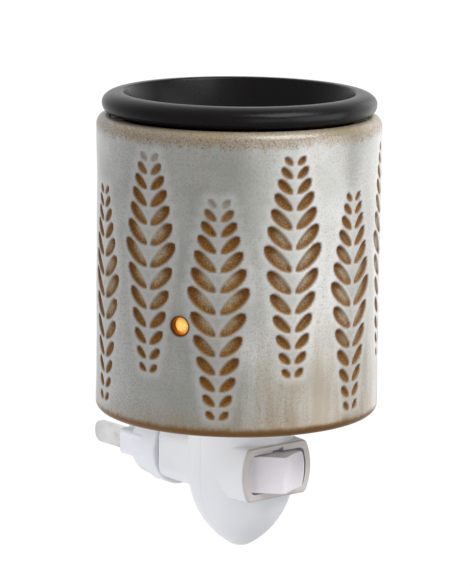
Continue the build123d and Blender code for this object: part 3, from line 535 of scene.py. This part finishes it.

# Glaze places in millimetres: where each starts and is full, and how ragged its edge is
# Where the glaze turns greyer towards the light hole: partly thin glaze, partly painted shade
THIN_AND_SHADED_SIDE = (32.0, 39.6)
FRONT_RUN = (48.0, 82.0)
FRONT_RUN_HEIGHT = (8.0, 62.0)
SIDE_RUN = (-24.0, -10.0)
SIDE_RUN_HEIGHT = (6.0, 46.0)
SHOULDER_RAGGED = 5.0
SHOULDER_BAND = (79.0, 82.0)
LINE_START = (78.8, 80.2)
LINE_END = (81.0, 83.6)
HAZE_RAGGED = 6.0
FOOT_HAZE = (0.5, 10.0)
FOOT_RAGGED = 2.0
FOOT_BAND = (1.6, 3.4)
LEAF_RAGGED = 0.7
BARE_LEAF = (-0.65, 0.50)
LEAF_HALO = (-3.4, -0.3)
HOLE_RING = (2.6, 3.3)
# Where the painted glow of the lamp's light lies on the hole's wall
HOLE_WALL = (2.5, 2.7)
HOLE_WALL_END = (37.4, 39.2)

# Pale glaze pooled in the larger leaves, as shares of a leaf's length, width and size
POOL_START = (0.02, 0.30)
POOL_END = (0.50, 0.84)
POOL_SIDE = (-0.65, 0.70)
POOL_SIZE = (0.68, 0.96)
DARK_TIP = (0.40, 0.95)

# How far each colour covers: one share, or an even share and a further one in a pattern
SPECK_SHARE = 0.42
PEPPER_SHARE = 0.42
THIN_AND_SHADE_SHARE = 0.58
FOOT_SHARE = 0.97
HALO_SHARE = 0.30
TIP_SHARE = 0.60
VEIL_SHARE = 0.72
RING_SHARE = 0.98
POOL_EVEN = 0.3
FRONT_RUST_COVER = (0.15, 0.7)
SIDE_RUST_COVER = (0.68, 0.7)
RUST_COVER = (0.60, 0.38)
SHOULDER_COVER = (0.34, 0.58)
LINE_COVER = (0.14, 0.74)
HAZE_COVER = (0.28, 0.50)
POOL_COVER = (0.42, 0.42)

# Gloss of the glaze and how much of it is lost, and the shares of its fine relief
COAT = 0.8
COAT_LOST_AT_SHOULDER = 0.35
COAT_LEFT_IN_POOLS = 0.55
GLAZE_ROUGHNESS = 0.30
LEAF_ROUGHER = 0.18
SHOULDER_ROUGHER = 0.10
GRAIN_RELIEF = 0.4
RUN_RELIEF = 0.5


class Glaze(Finish):
    """Pale reactive glaze: grey clouds, rusty runs and specks, brown at the edges and in the leaves"""

    def __init__(self):
        super().__init__(
            "reactive_glaze",
            Coat_Roughness=0.30,
            Coat_IOR=1.8,
            Specular_IOR_Level=0.08,
            Emission_Strength=0.8,
        )
        place = self.place()
        self.x, self.y, z = self.axes(place)
        self.height = z * PER_METRE - BODY_BASE
        self.toward_hole = (self.x * HOLE_OUT_X + (self.y - BODY_Y * MM) * HOLE_OUT_Y) * PER_METRE
        self.clouds = self.noise(place, scale=38.0, detail=3.0, roughness=0.55)
        run_place = self.stretched(place, RUN_STRETCH)
        self.runs = self.noise(run_place, scale=210.0, detail=4.0, roughness=0.6)
        ragged_place = self.stretched(place, RAGGED_STRETCH)
        self.ragged = self.noise(ragged_place, scale=330.0, detail=4.0, roughness=0.65)
        self.grain = self.noise(place, scale=2300.0, detail=2.0, roughness=0.7)
        self.specks = self.grain.step(*SPECKS)
        self.pepper = self.noise(place, scale=1700.0, detail=2.0, roughness=0.6).step(*PEPPER)

        self.shoulder = self.ragged_height(SHOULDER_RAGGED).step(*SHOULDER_BAND)
        self.foot = 1 - self.ragged_height(FOOT_RAGGED).step(*FOOT_BAND)
        self.inset = self.stored("leaf_inset") + (self.grain - NOISE_MIDDLE) * LEAF_RAGGED
        self.reach = self.stored("leaf_reach")
        self.leaf = self.inset.step(*BARE_LEAF)
        self.bare_leaf = self.leaf * (1 - self.stored("leaf_veil") * VEIL_SHARE)
        self.pooled = self.pools()
        hole_distance = self.stored("hole_distance")
        self.ring = 1 - hole_distance.step(*HOLE_RING)
        # Painted glow of the lamp's light on the hole's wall, deep inside the hole
        self.painted_wall_glow = (1 - hole_distance.step(*HOLE_WALL)) * (1 - self.toward_hole.step(*HOLE_WALL_END))

    def ragged_height(self, reach):
        """Height over the body's underside, ragged by a reach"""
        return self.height + (self.ragged - NOISE_MIDDLE) * reach

    def pools(self):
        """Where pale glaze has pooled in the larger leaves"""
        large = self.stored("leaf_share").step(*POOL_SIZE)
        inner = self.reach.step(*POOL_START) * (1 - self.reach.step(*POOL_END))
        upper = self.stored("leaf_side").step(*POOL_SIDE)
        return large * inner * upper * (POOL_EVEN + self.clouds)

    def wall_colour(self):
        """Clouds and specks, thin glaze and painted shade towards the light hole, with rusty runs low on the
        front and the side
        """
        colour = self.mix(self.clouds.step(*CLOUDS), CLOUD_DARK, CLOUD_PALE)
        colour = self.mix(self.specks * SPECK_SHARE, colour, SPECK_SAND)
        colour = self.mix(self.pepper * PEPPER_SHARE, colour, PEPPER_BROWN)
        # Greyer towards the light hole: partly thin glaze, partly painted shade where less light falls
        colour = self.mix(self.toward_hole.step(*THIN_AND_SHADED_SIDE) * THIN_AND_SHADE_SHARE, colour, THIN_GREY_AND_SHADE)
        front_low = (self.y * -PER_METRE).step(*FRONT_RUN) * (1 - self.height.step(*FRONT_RUN_HEIGHT))
        side_low = (self.x * PER_METRE).step(*SIDE_RUN) * (1 - self.height.step(*SIDE_RUN_HEIGHT))
        front_rust = self.runs.step(*RUN_LINES) * cover(FRONT_RUST_COVER, front_low)
        side_rust = side_low * cover(SIDE_RUST_COVER, self.runs)
        return self.mix((front_rust + side_rust) * cover(RUST_COVER, self.pepper), colour, RUST)

    def edge_colour(self, colour):
        """Brown round the shoulder and at the foot"""
        edge = self.ragged_height(SHOULDER_RAGGED)
        line = edge.step(*LINE_START) * (1 - edge.step(*LINE_END))
        haze = 1 - self.ragged_height(HAZE_RAGGED).step(*FOOT_HAZE)
        colour = self.mix(self.shoulder * cover(SHOULDER_COVER, self.specks), colour, SHOULDER_BROWN)
        colour = self.mix(line * cover(LINE_COVER, self.pepper), colour, LINE_BROWN)
        colour = self.mix(haze * cover(HAZE_COVER, self.specks), colour, HAZE_BROWN)
        return self.mix(self.foot * FOOT_SHARE, colour, FOOT_BROWN)

    def leaf_colour(self, colour):
        """Iron brown leaves with pale pools, in a pale halo"""
        halo = self.inset.step(*LEAF_HALO) * (1 - self.leaf)
        colour = self.mix(halo * HALO_SHARE, colour, HALO_WHITE)
        iron = self.mix(self.grain.step(*IRON_GRAIN), IRON_DARK, IRON_PALE)
        iron = self.mix(self.reach.step(*DARK_TIP) * TIP_SHARE, iron, IRON_TIP)
        iron = self.mix(self.pooled * cover(POOL_COVER, self.specks), iron, POOL_PALE)
        return self.mix(self.bare_leaf, colour, iron)

    def bare(self):
        """Where the glaze has lost its gloss"""
        bare_leaf = self.bare_leaf * (1 - self.pooled * COAT_LEFT_IN_POOLS)
        return bare_leaf + self.foot + self.ring + self.shoulder * COAT_LOST_AT_SHOULDER


def glaze_finish():
    """The glaze with all its colours on its shader"""
    glaze = Glaze()
    colour = glaze.leaf_colour(glaze.edge_colour(glaze.wall_colour()))
    glaze.set(
        Base_Color=glaze.mix(glaze.ring * RING_SHARE, colour, HOLE_BROWN),
        Roughness=GLAZE_ROUGHNESS + glaze.leaf * LEAF_ROUGHER + glaze.shoulder * SHOULDER_ROUGHER,
        Coat_Weight=COAT - glaze.bare() * COAT,
        # The hole's wall glows: painted light of the lamp, given as emission
        Emission_Color=glaze.mix(glaze.painted_wall_glow, UNLIT, PAINTED_HOLE_GLOW),
    )
    relief = glaze.grain * GRAIN_RELIEF + glaze.clouds + glaze.runs * RUN_RELIEF
    glaze.bump(relief, distance=0.00012, strength=0.6)
    return glaze


# Silicone dish: sizes in millimetres, with the radius of its two sides at the ledge
DISH_FLOOR = 70.8
DISH_UNDER = 68.6
RIM_TOP = 90.3
RIM_BOTTOM = 84.3
RIM_RADIUS = 38.5
RIM_ROLL = 2.75
DISH_SLOPE_ANGLE = 17.0
DISH_SLOPE = math.tan(math.radians(DISH_SLOPE_ANGLE))
DISH_OUTSIDE = 32.054
DISH_INSIDE = 29.754
LIP_SWELL = 4.6
LIP_EDGE = 0.9
NECK_ROUND = 1.0
DISH_HEEL_RUN = 4.4
DISH_HEEL_RISE = 4.5
BOWL_RUN = 3.6
BOWL_RISE = 3.9

# Rings and columns of its mesh
DISH_COLUMNS = 200
CENTRE_RING = 0.02
UNDER_RING = 12.0
FLOOR_RINGS = (14.0, 6.0)
OUTSIDE_LOW_RING = 76.0
OUTSIDE_TOP_GAP = 0.8
OUTSIDE_RINGS = 5
INSIDE_LOW_GAP = 5.5
INSIDE_RINGS = 7
DISH_HEEL_POINTS = 8
BOWL_POINTS = 9
NECK_POINTS = 4
ROLL_POINTS = 9
SWELL_POINTS = 13
LIP_POINTS = 7
DISH_SMOOTH_ANGLE = 60.0

# Silicone colours
SILICONE_BLACK = srgb(7, 5, 6)
SILICONE_BLOOM = srgb(12, 9, 11)
DUST_GREY = srgb(80, 75, 74)
DUST = (0.64, 0.78)
DUST_SHARE = 0.15
SILICONE_ROUGHNESS = (0.22, 0.12)


def dish_profile():
    """Closed section of the dish: sloping cup with a fat rolled rim"""
    def outside(height):
        return DISH_OUTSIDE + (height - LEDGE) * DISH_SLOPE

    def inside(height):
        return DISH_INSIDE + (height - LEDGE) * DISH_SLOPE

    rim_half = (RIM_TOP - RIM_BOTTOM) / 2
    rim_middle = (RIM_TOP + RIM_BOTTOM) / 2
    heel_start = (outside(DISH_UNDER) - DISH_HEEL_RUN, DISH_UNDER)
    heel_corner = (outside(DISH_UNDER), DISH_UNDER)
    heel_end = (outside(DISH_UNDER + DISH_HEEL_RISE), DISH_UNDER + DISH_HEEL_RISE)
    neck_centre = (outside(RIM_BOTTOM) + NECK_ROUND, RIM_BOTTOM - NECK_ROUND)
    roll_centre = (RIM_RADIUS - RIM_ROLL, RIM_BOTTOM + RIM_ROLL)
    lip_centre = (inside(RIM_TOP) + LIP_EDGE, RIM_TOP - LIP_EDGE)
    bowl_start = (inside(DISH_FLOOR + BOWL_RISE), DISH_FLOOR + BOWL_RISE)
    bowl_corner = (inside(DISH_FLOOR), DISH_FLOOR)
    bowl_end = (inside(DISH_FLOOR) - BOWL_RUN, DISH_FLOOR)
    outside_rings = np.linspace(OUTSIDE_LOW_RING, RIM_BOTTOM - OUTSIDE_TOP_GAP, OUTSIDE_RINGS)
    inside_rings = np.linspace(RIM_BOTTOM, DISH_FLOOR + INSIDE_LOW_GAP, INSIDE_RINGS)

    section = [(CENTRE_RING, DISH_UNDER), (UNDER_RING, DISH_UNDER)]
    section += bend(heel_start, heel_corner, heel_end, DISH_HEEL_POINTS)
    section += [(outside(height), height) for height in outside_rings]
    section += arc(neck_centre, NECK_ROUND, 180, 90, NECK_POINTS)
    section += arc(roll_centre, RIM_ROLL, -90, 0, ROLL_POINTS)[:-1]
    for turn in np.radians(np.linspace(0, 90, SWELL_POINTS)):
        swell = LIP_SWELL * (1 - math.cos(turn))
        section.append((RIM_RADIUS - swell, rim_middle + rim_half * math.sin(turn)))
    section += arc(lip_centre, LIP_EDGE, 90, 180 - DISH_SLOPE_ANGLE, LIP_POINTS)
    section += [(inside(height), height) for height in inside_rings]
    section += bend(bowl_start, bowl_corner, bowl_end, BOWL_POINTS)
    section += [(radius, DISH_FLOOR) for radius in (*FLOOR_RINGS, CENTRE_RING)]
    return section


def make_dish():
    """The wax dish"""
    points, faces = lathe_mesh(dish_profile(), DISH_COLUMNS)
    mesh = mesh_from("silicone_dish", points, faces)
    made = finish_piece("silicone_dish", mesh, "dish", DISH_SMOOTH_ANGLE)
    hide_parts("wax_dish")
    return made


def silicone_finish():
    """Near-black silicone with a soft bloom and faint dust"""
    silicone = Finish("black_silicone", Specular_IOR_Level=0.10)
    place = silicone.place()
    bloom = silicone.noise(place, scale=70.0, detail=3.0, roughness=0.6)
    dust = silicone.noise(place, scale=1500.0, detail=2.0, roughness=0.6)
    colour = silicone.mix(bloom, SILICONE_BLACK, SILICONE_BLOOM)
    colour = silicone.mix(dust.step(*DUST) * DUST_SHARE, colour, DUST_GREY)
    silicone.set(Base_Color=colour, Roughness=cover(SILICONE_ROUGHNESS, bloom))
    silicone.bump(dust, distance=0.00006, strength=0.5)
    return silicone


# Rocker with its moulded edges softened
SOFT_GRID = 0.13
SOFT_PASSES = 14
SOFT_FACTOR = 0.5
ROCKER_SMOOTH_ANGLE = 70.0


def make_soft_rocker():
    """The rocker's own shape on a fine grid, smoothed so that its edges turn round"""
    rough = set_down("rocker_rough", solids["switch_rocker"].data.copy())
    grid = rough.modifiers.new("grid", "REMESH")
    grid.mode = "VOXEL"
    grid.voxel_size = SOFT_GRID * MM
    smooth = rough.modifiers.new("smooth", "SMOOTH")
    smooth.factor = SOFT_FACTOR
    smooth.iterations = SOFT_PASSES
    made = finish_piece("soft_rocker", applied_mesh(rough), "rocker", ROCKER_SMOOTH_ANGLE)
    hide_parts("switch_rocker")
    return made


# Finishes of the carried-over solids: where patterns start and are full, and how far they reach
FLOW = (0.3, 0.7)
FRAME_FADE = (0.5, 0.9)
FRAME_TONE = srgb(203, 198, 195)
SEAM = (0.05, 0.16)
SEAM_SHARE = 0.22
SEAM_GREY = srgb(160, 158, 156)
PLASTIC_UNEVEN = 0.1
TARNISH = (0.35, 0.75)
METAL_UNEVEN = 0.25
MATT_UNEVEN = 0.2

# Lamp colours, and how its glow goes from the middle of the lens to its edge, in millimetres
LENS_EDGE = (0.9, 2.4)
LENS_GLINTS = (0.50, 0.62)
GLINT_SHARE = 0.75
LENS_YELLOW = srgb(130, 84, 14)
LENS_ORANGE = srgb(110, 52, 8)
GLOW_YELLOW = srgb(246, 204, 96)
GLOW_ORANGE = srgb(226, 136, 28)
GLINT_WHITE = srgb(255, 242, 196)


def plastic_finish(name, pale, shade, roughness, frame_tone=None):
    """Moulded plastic with a faint flow pattern and fine grain. With a frame tone, the face of the switch
    frame takes that colour and the parting line shows"""
    plastic = Finish(name, Specular_IOR_Level=0.4)
    place = plastic.place()
    flow = plastic.noise(place, scale=55.0, detail=2.0, roughness=0.5)
    grain = plastic.noise(place, scale=2600.0, detail=1.0, roughness=0.5)
    colour = plastic.mix(flow.step(*FLOW), pale, shade)
    if frame_tone:
        along = plastic.axes(place)[1] * PER_METRE
        face = 1 - (along - FRAME_FACE_Y).step(*FRAME_FADE)
        colour = plastic.mix(face, colour, frame_tone)
        seam = 1 - abs(along - PARTING_Y).step(*SEAM)
        colour = plastic.mix(seam * SEAM_SHARE, colour, SEAM_GREY)
    plastic.set(Base_Color=colour, Roughness=roughness + (grain - NOISE_MIDDLE) * PLASTIC_UNEVEN)
    plastic.bump(grain, distance=0.00003, strength=0.35)
    return plastic


def metal_finish(name, pale, dark, roughness, brush):
    """Plain metal with fine brush marks and a little tarnish"""
    metal = Finish(name, Metallic=1.0)
    place = metal.place()
    marks = metal.noise(metal.stretched(place, brush), scale=1400.0, detail=3.0, roughness=0.6)
    tarnish = metal.noise(place, scale=160.0, detail=3.0, roughness=0.6)
    metal.set(
        Base_Color=metal.mix(tarnish.step(*TARNISH), pale, dark),
        Roughness=roughness + (marks - NOISE_MIDDLE) * METAL_UNEVEN,
    )
    metal.bump(marks, distance=0.00002, strength=0.4)
    return metal


def matt_finish(name, pale, dark, roughness, scale):
    """Dull surface with a cloudy grain"""
    matt = Finish(name)
    cloud = matt.noise(matt.place(), scale, detail=4.0, roughness=0.6)
    matt.set(
        Base_Color=matt.mix(cloud, dark, pale),
        Roughness=roughness + (cloud - NOISE_MIDDLE) * MATT_UNEVEN,
    )
    matt.bump(cloud, distance=0.00005, strength=0.4)
    return matt


def lamp_finish():
    """Glowing amber lens, yellow in the middle and orange at its edge"""
    lens = Finish("amber_lens", Roughness=0.18, Emission_Strength=0.9)
    place = lens.place()
    x, y, z = lens.axes(place)
    side = x * HOLE_OUT_Y - (y - BODY_Y * MM) * HOLE_OUT_X
    rise = z - (BODY_BASE + LIGHT_HOLE_HEIGHT) * MM
    off_axis = (side * side + rise * rise).math("SQRT") * PER_METRE
    edge = off_axis.step(*LENS_EDGE)
    sparkle = lens.noise(place, scale=1300.0, detail=1.0, roughness=0.5)
    glints = sparkle.step(*LENS_GLINTS) * (1 - edge)
    glow = lens.mix(edge, GLOW_YELLOW, GLOW_ORANGE)
    lens.set(
        Base_Color=lens.mix(edge, LENS_YELLOW, LENS_ORANGE),
        Emission_Color=lens.mix(glints * GLINT_SHARE, glow, GLINT_WHITE),
    )
    return lens


# Stoneware and dish with their finishes
paint(make_stoneware(), glaze_finish())
paint(make_dish(), silicone_finish())

# Plastics: pale colour, shade
white = plastic_finish(
    "white_housing", srgb(240, 241, 244), srgb(235, 236, 241), roughness=0.38, frame_tone=FRAME_TONE
)
plug_white = plastic_finish("white_plug", srgb(244, 245, 250), srgb(238, 240, 247), roughness=0.40)
rocker_white = plastic_finish("white_rocker", srgb(242, 239, 243), srgb(237, 233, 240), roughness=0.26)
natural = plastic_finish("natural_nylon", srgb(226, 224, 216), srgb(216, 213, 204), roughness=0.45)

# Metals: pale colour, dark colour; the brush marks run along the axis with the least scale
steel = metal_finish(
    "plated_steel", srgb(196, 197, 200), srgb(168, 168, 170), roughness=0.34, brush=(1.0, 0.2, 1.0)
)
aluminium = metal_finish(
    "drawn_aluminium", srgb(214, 215, 217), srgb(188, 189, 192), roughness=0.38, brush=(0.2, 0.2, 1.0)
)
nickel = metal_finish(
    "nickel_blade", srgb(214, 213, 214), srgb(190, 188, 187), roughness=0.30, brush=(1.0, 0.08, 1.0)
)
brass = metal_finish(
    "brass_contact", srgb(214, 178, 104), srgb(178, 140, 74), roughness=0.32, brush=(1.0, 0.3, 1.0)
)

# Dull surfaces: pale colour, dark colour; the scale is of their grain
heater_clay = matt_finish(
    "heater_alumina", srgb(226, 222, 212), srgb(204, 198, 186), roughness=0.7, scale=420.0
)
fuse_paint = matt_finish(
    "fuse_paint", srgb(206, 198, 176), srgb(184, 174, 150), roughness=0.45, scale=420.0
)
gasket_rubber = matt_finish(
    "gasket_rubber", srgb(48, 47, 46), srgb(30, 29, 29), roughness=0.75, scale=900.0
)
phenolic = matt_finish("phenolic", srgb(58, 54, 52), srgb(38, 36, 35), roughness=0.55, scale=700.0)
lead_white = matt_finish("white_lead", srgb(232, 231, 226), srgb(216, 214, 208), roughness=0.5, scale=500.0)
lead_black = matt_finish("black_lead", srgb(40, 40, 42), srgb(26, 26, 27), roughness=0.5, scale=500.0)

SOLID_FINISH = {
    "heater_pan": aluminium,
    "ptc_heater": heater_clay,
    "heater_clamp": steel,
    "clamp_screws": steel,
    "thermal_fuse": fuse_paint,
    "fuse_strap": steel,
    "collar": natural,
    "base_gasket": gasket_rubber,
    "collar_nut": natural,
    "lamp_bracket": steel,
    "indicator_lamp": lamp_finish(),
    "housing_front": white,
    "housing_rear": white,
    "housing_screws": steel,
    "rocker_pins": steel,
    "contact_leaf": brass,
    "switch_terminals": brass,
    "switch_carrier": phenolic,
    "plug_swivel": plug_white,
    "swivel_clip": steel,
    "blade_live": nickel,
    "blade_neutral": nickel,
    "slip_rings": brass,
    "contact_disc": phenolic,
    "heater_leads": lead_white,
    "lamp_leads": lead_black,
    "live_lead": lead_black,
}
for solid_name, solid_finish in SOLID_FINISH.items():
    paint(solids[solid_name], solid_finish)
paint(make_soft_rocker(), rocker_white)


# Studio: floor, background, lamps and camera, in metres
FLOOR_DROP = 0.26
FLOOR_REACH = 6.0
FLOOR_CORNERS = ((-1, -1), (1, -1), (1, 1), (-1, 1))
FLOOR_GREY = (0.36, 0.36, 0.36, 1.0)
FLOOR_GLOW_SHARE = 0.9
FLOOR_GLOW = 1.12
AMBIENT = 0.44
AMBIENT_COLOUR = (0.96, 0.98, 1.0, 1.0)
WHITE = (1.0, 1.0, 1.0, 1.0)
NEUTRAL_LIGHT = (1.0, 1.0, 0.99)
WARM_LIGHT = (1.0, 0.99, 0.98)
WARMER_LIGHT = (1.0, 0.99, 0.97)
COOL_LIGHT = (0.98, 0.98, 1.0)
SEEN_RAYS = ("Is Camera Ray", "Is Glossy Ray", "Is Transmission Ray")
CAMERA_AZIMUTH = -39.78
CAMERA_ELEVATION = 10.93
CAMERA_ROLL = 0.63
CAMERA_DISTANCE = 0.891
CAMERA_TARGET = Vector((-0.536, BODY_Y, 49.45)) * MM
FOCAL_PIXELS = 3153.0
IMAGE_HEIGHT = 586.0
SENSOR = 36.0
CLIP_START = 0.01
CLIP_END = 50.0


def seen_ray(tree):
    """1 for rays that see the background itself: from the camera, or by gloss or glass"""
    camera, gloss, glass = [tree.node("ShaderNodeLightPath", output=ray) for ray in SEEN_RAYS]
    return camera.math("MAXIMUM", gloss).math("MAXIMUM", glass)


def make_floor():
    """Pale floor that shows near white and still takes the shadow"""
    bottom = cad_box[0][2] - FLOOR_DROP
    corners = [(x * FLOOR_REACH, y * FLOOR_REACH, bottom) for x, y in FLOOR_CORNERS]
    mesh = bpy.data.meshes.new("floor")
    mesh.from_pydata(corners, [], [(0, 1, 2, 3)])
    floor = set_down("floor", mesh)
    material = bpy.data.materials.new("pale_floor")
    tree = Tree(material)
    tree.nodes.clear()
    matt = tree.node("ShaderNodeBsdfDiffuse", inputs={"Color": FLOOR_GREY})
    glow = tree.node("ShaderNodeEmission", inputs={"Color": WHITE, "Strength": FLOOR_GLOW})
    shown = tree.node("ShaderNodeMixShader", inputs=[seen_ray(tree) * FLOOR_GLOW_SHARE, matt, glow])
    tree.node("ShaderNodeOutputMaterial", inputs=[shown])
    mesh.materials.append(material)


def make_world():
    """Soft light from all round, which shows as plain white"""
    world = bpy.data.worlds.new("studio")
    bpy.context.scene.world = world
    tree = Tree(world)
    tree.nodes.clear()
    soft = tree.node("ShaderNodeBackground", inputs={"Color": AMBIENT_COLOUR, "Strength": AMBIENT})
    bright = tree.node("ShaderNodeBackground", inputs={"Color": WHITE, "Strength": 1.0})
    shown = tree.node("ShaderNodeMixShader", inputs=[seen_ray(tree), soft, bright])
    tree.node("ShaderNodeOutputWorld", inputs=[shown])


def direction(azimuth, elevation):
    """Way out from the object, azimuth 0 towards -Y and 90 towards +X"""
    turn = math.radians(azimuth)
    tilt = math.radians(elevation)
    return Vector((math.sin(turn) * math.cos(tilt), -math.cos(turn) * math.cos(tilt), math.sin(tilt)))


def softbox(name, colour, shows, beside, elevation, distance, size, watts):
    """Square area lamp that faces the object, some degrees beside the camera. It lights matt surfaces, shows
    in gloss, or both"""
    lamp = bpy.data.lights.new(name, "AREA")
    lamp.shape = "SQUARE"
    lamp.size = size
    lamp.energy = watts
    lamp.color = colour
    holder = set_down(name, lamp)
    holder.visible_diffuse = shows != "gloss"
    holder.visible_glossy = shows != "matt"
    out = direction(CAMERA_AZIMUTH + beside, elevation)
    holder.location = CAMERA_TARGET + out * distance
    holder.rotation_mode = "QUATERNION"
    holder.rotation_quaternion = out.to_track_quat("Z", "Y")


def make_camera():
    """Camera placed as in the photograph, with its slight roll"""
    out = direction(CAMERA_AZIMUTH, CAMERA_ELEVATION)
    turn = math.radians(CAMERA_AZIMUTH)
    level = Vector((math.cos(turn), math.sin(turn), 0))
    upright = out.cross(level)
    roll = math.radians(CAMERA_ROLL)
    right = level * math.cos(roll) + upright * math.sin(roll)
    up = upright * math.cos(roll) - level * math.sin(roll)
    data = bpy.data.cameras.new("camera")
    data.sensor_width = SENSOR
    data.lens = FOCAL_PIXELS * SENSOR / IMAGE_HEIGHT
    data.clip_start = CLIP_START
    data.clip_end = CLIP_END
    camera = set_down("camera", data)
    turned = Matrix((right, up, out)).transposed().to_4x4()
    camera.matrix_world = Matrix.Translation(CAMERA_TARGET + out * CAMERA_DISTANCE) @ turned
    bpy.context.scene.camera = camera


make_floor()
make_world()
softbox("key", NEUTRAL_LIGHT, "both", beside=54, elevation=54, distance=1.4, size=0.9, watts=23.0)
softbox("front_card", WARM_LIGHT, "gloss", beside=26, elevation=0, distance=1.0, size=0.6, watts=2.8)
softbox("card", WARM_LIGHT, "gloss", beside=70, elevation=0, distance=1.0, size=0.9, watts=11.5)
softbox("back_card", WARM_LIGHT, "gloss", beside=132, elevation=4, distance=1.0, size=0.9, watts=2.6)
softbox("side", WARMER_LIGHT, "matt", beside=50, elevation=20, distance=1.1, size=0.7, watts=2.2)
softbox("fill", COOL_LIGHT, "matt", beside=-58, elevation=0, distance=1.4, size=0.9, watts=7.0)
softbox("under", COOL_LIGHT, "matt", beside=-56, elevation=-42, distance=0.36, size=0.3, watts=0.30)
make_camera()
bpy.context.scene.view_settings.view_transform = "Standard"
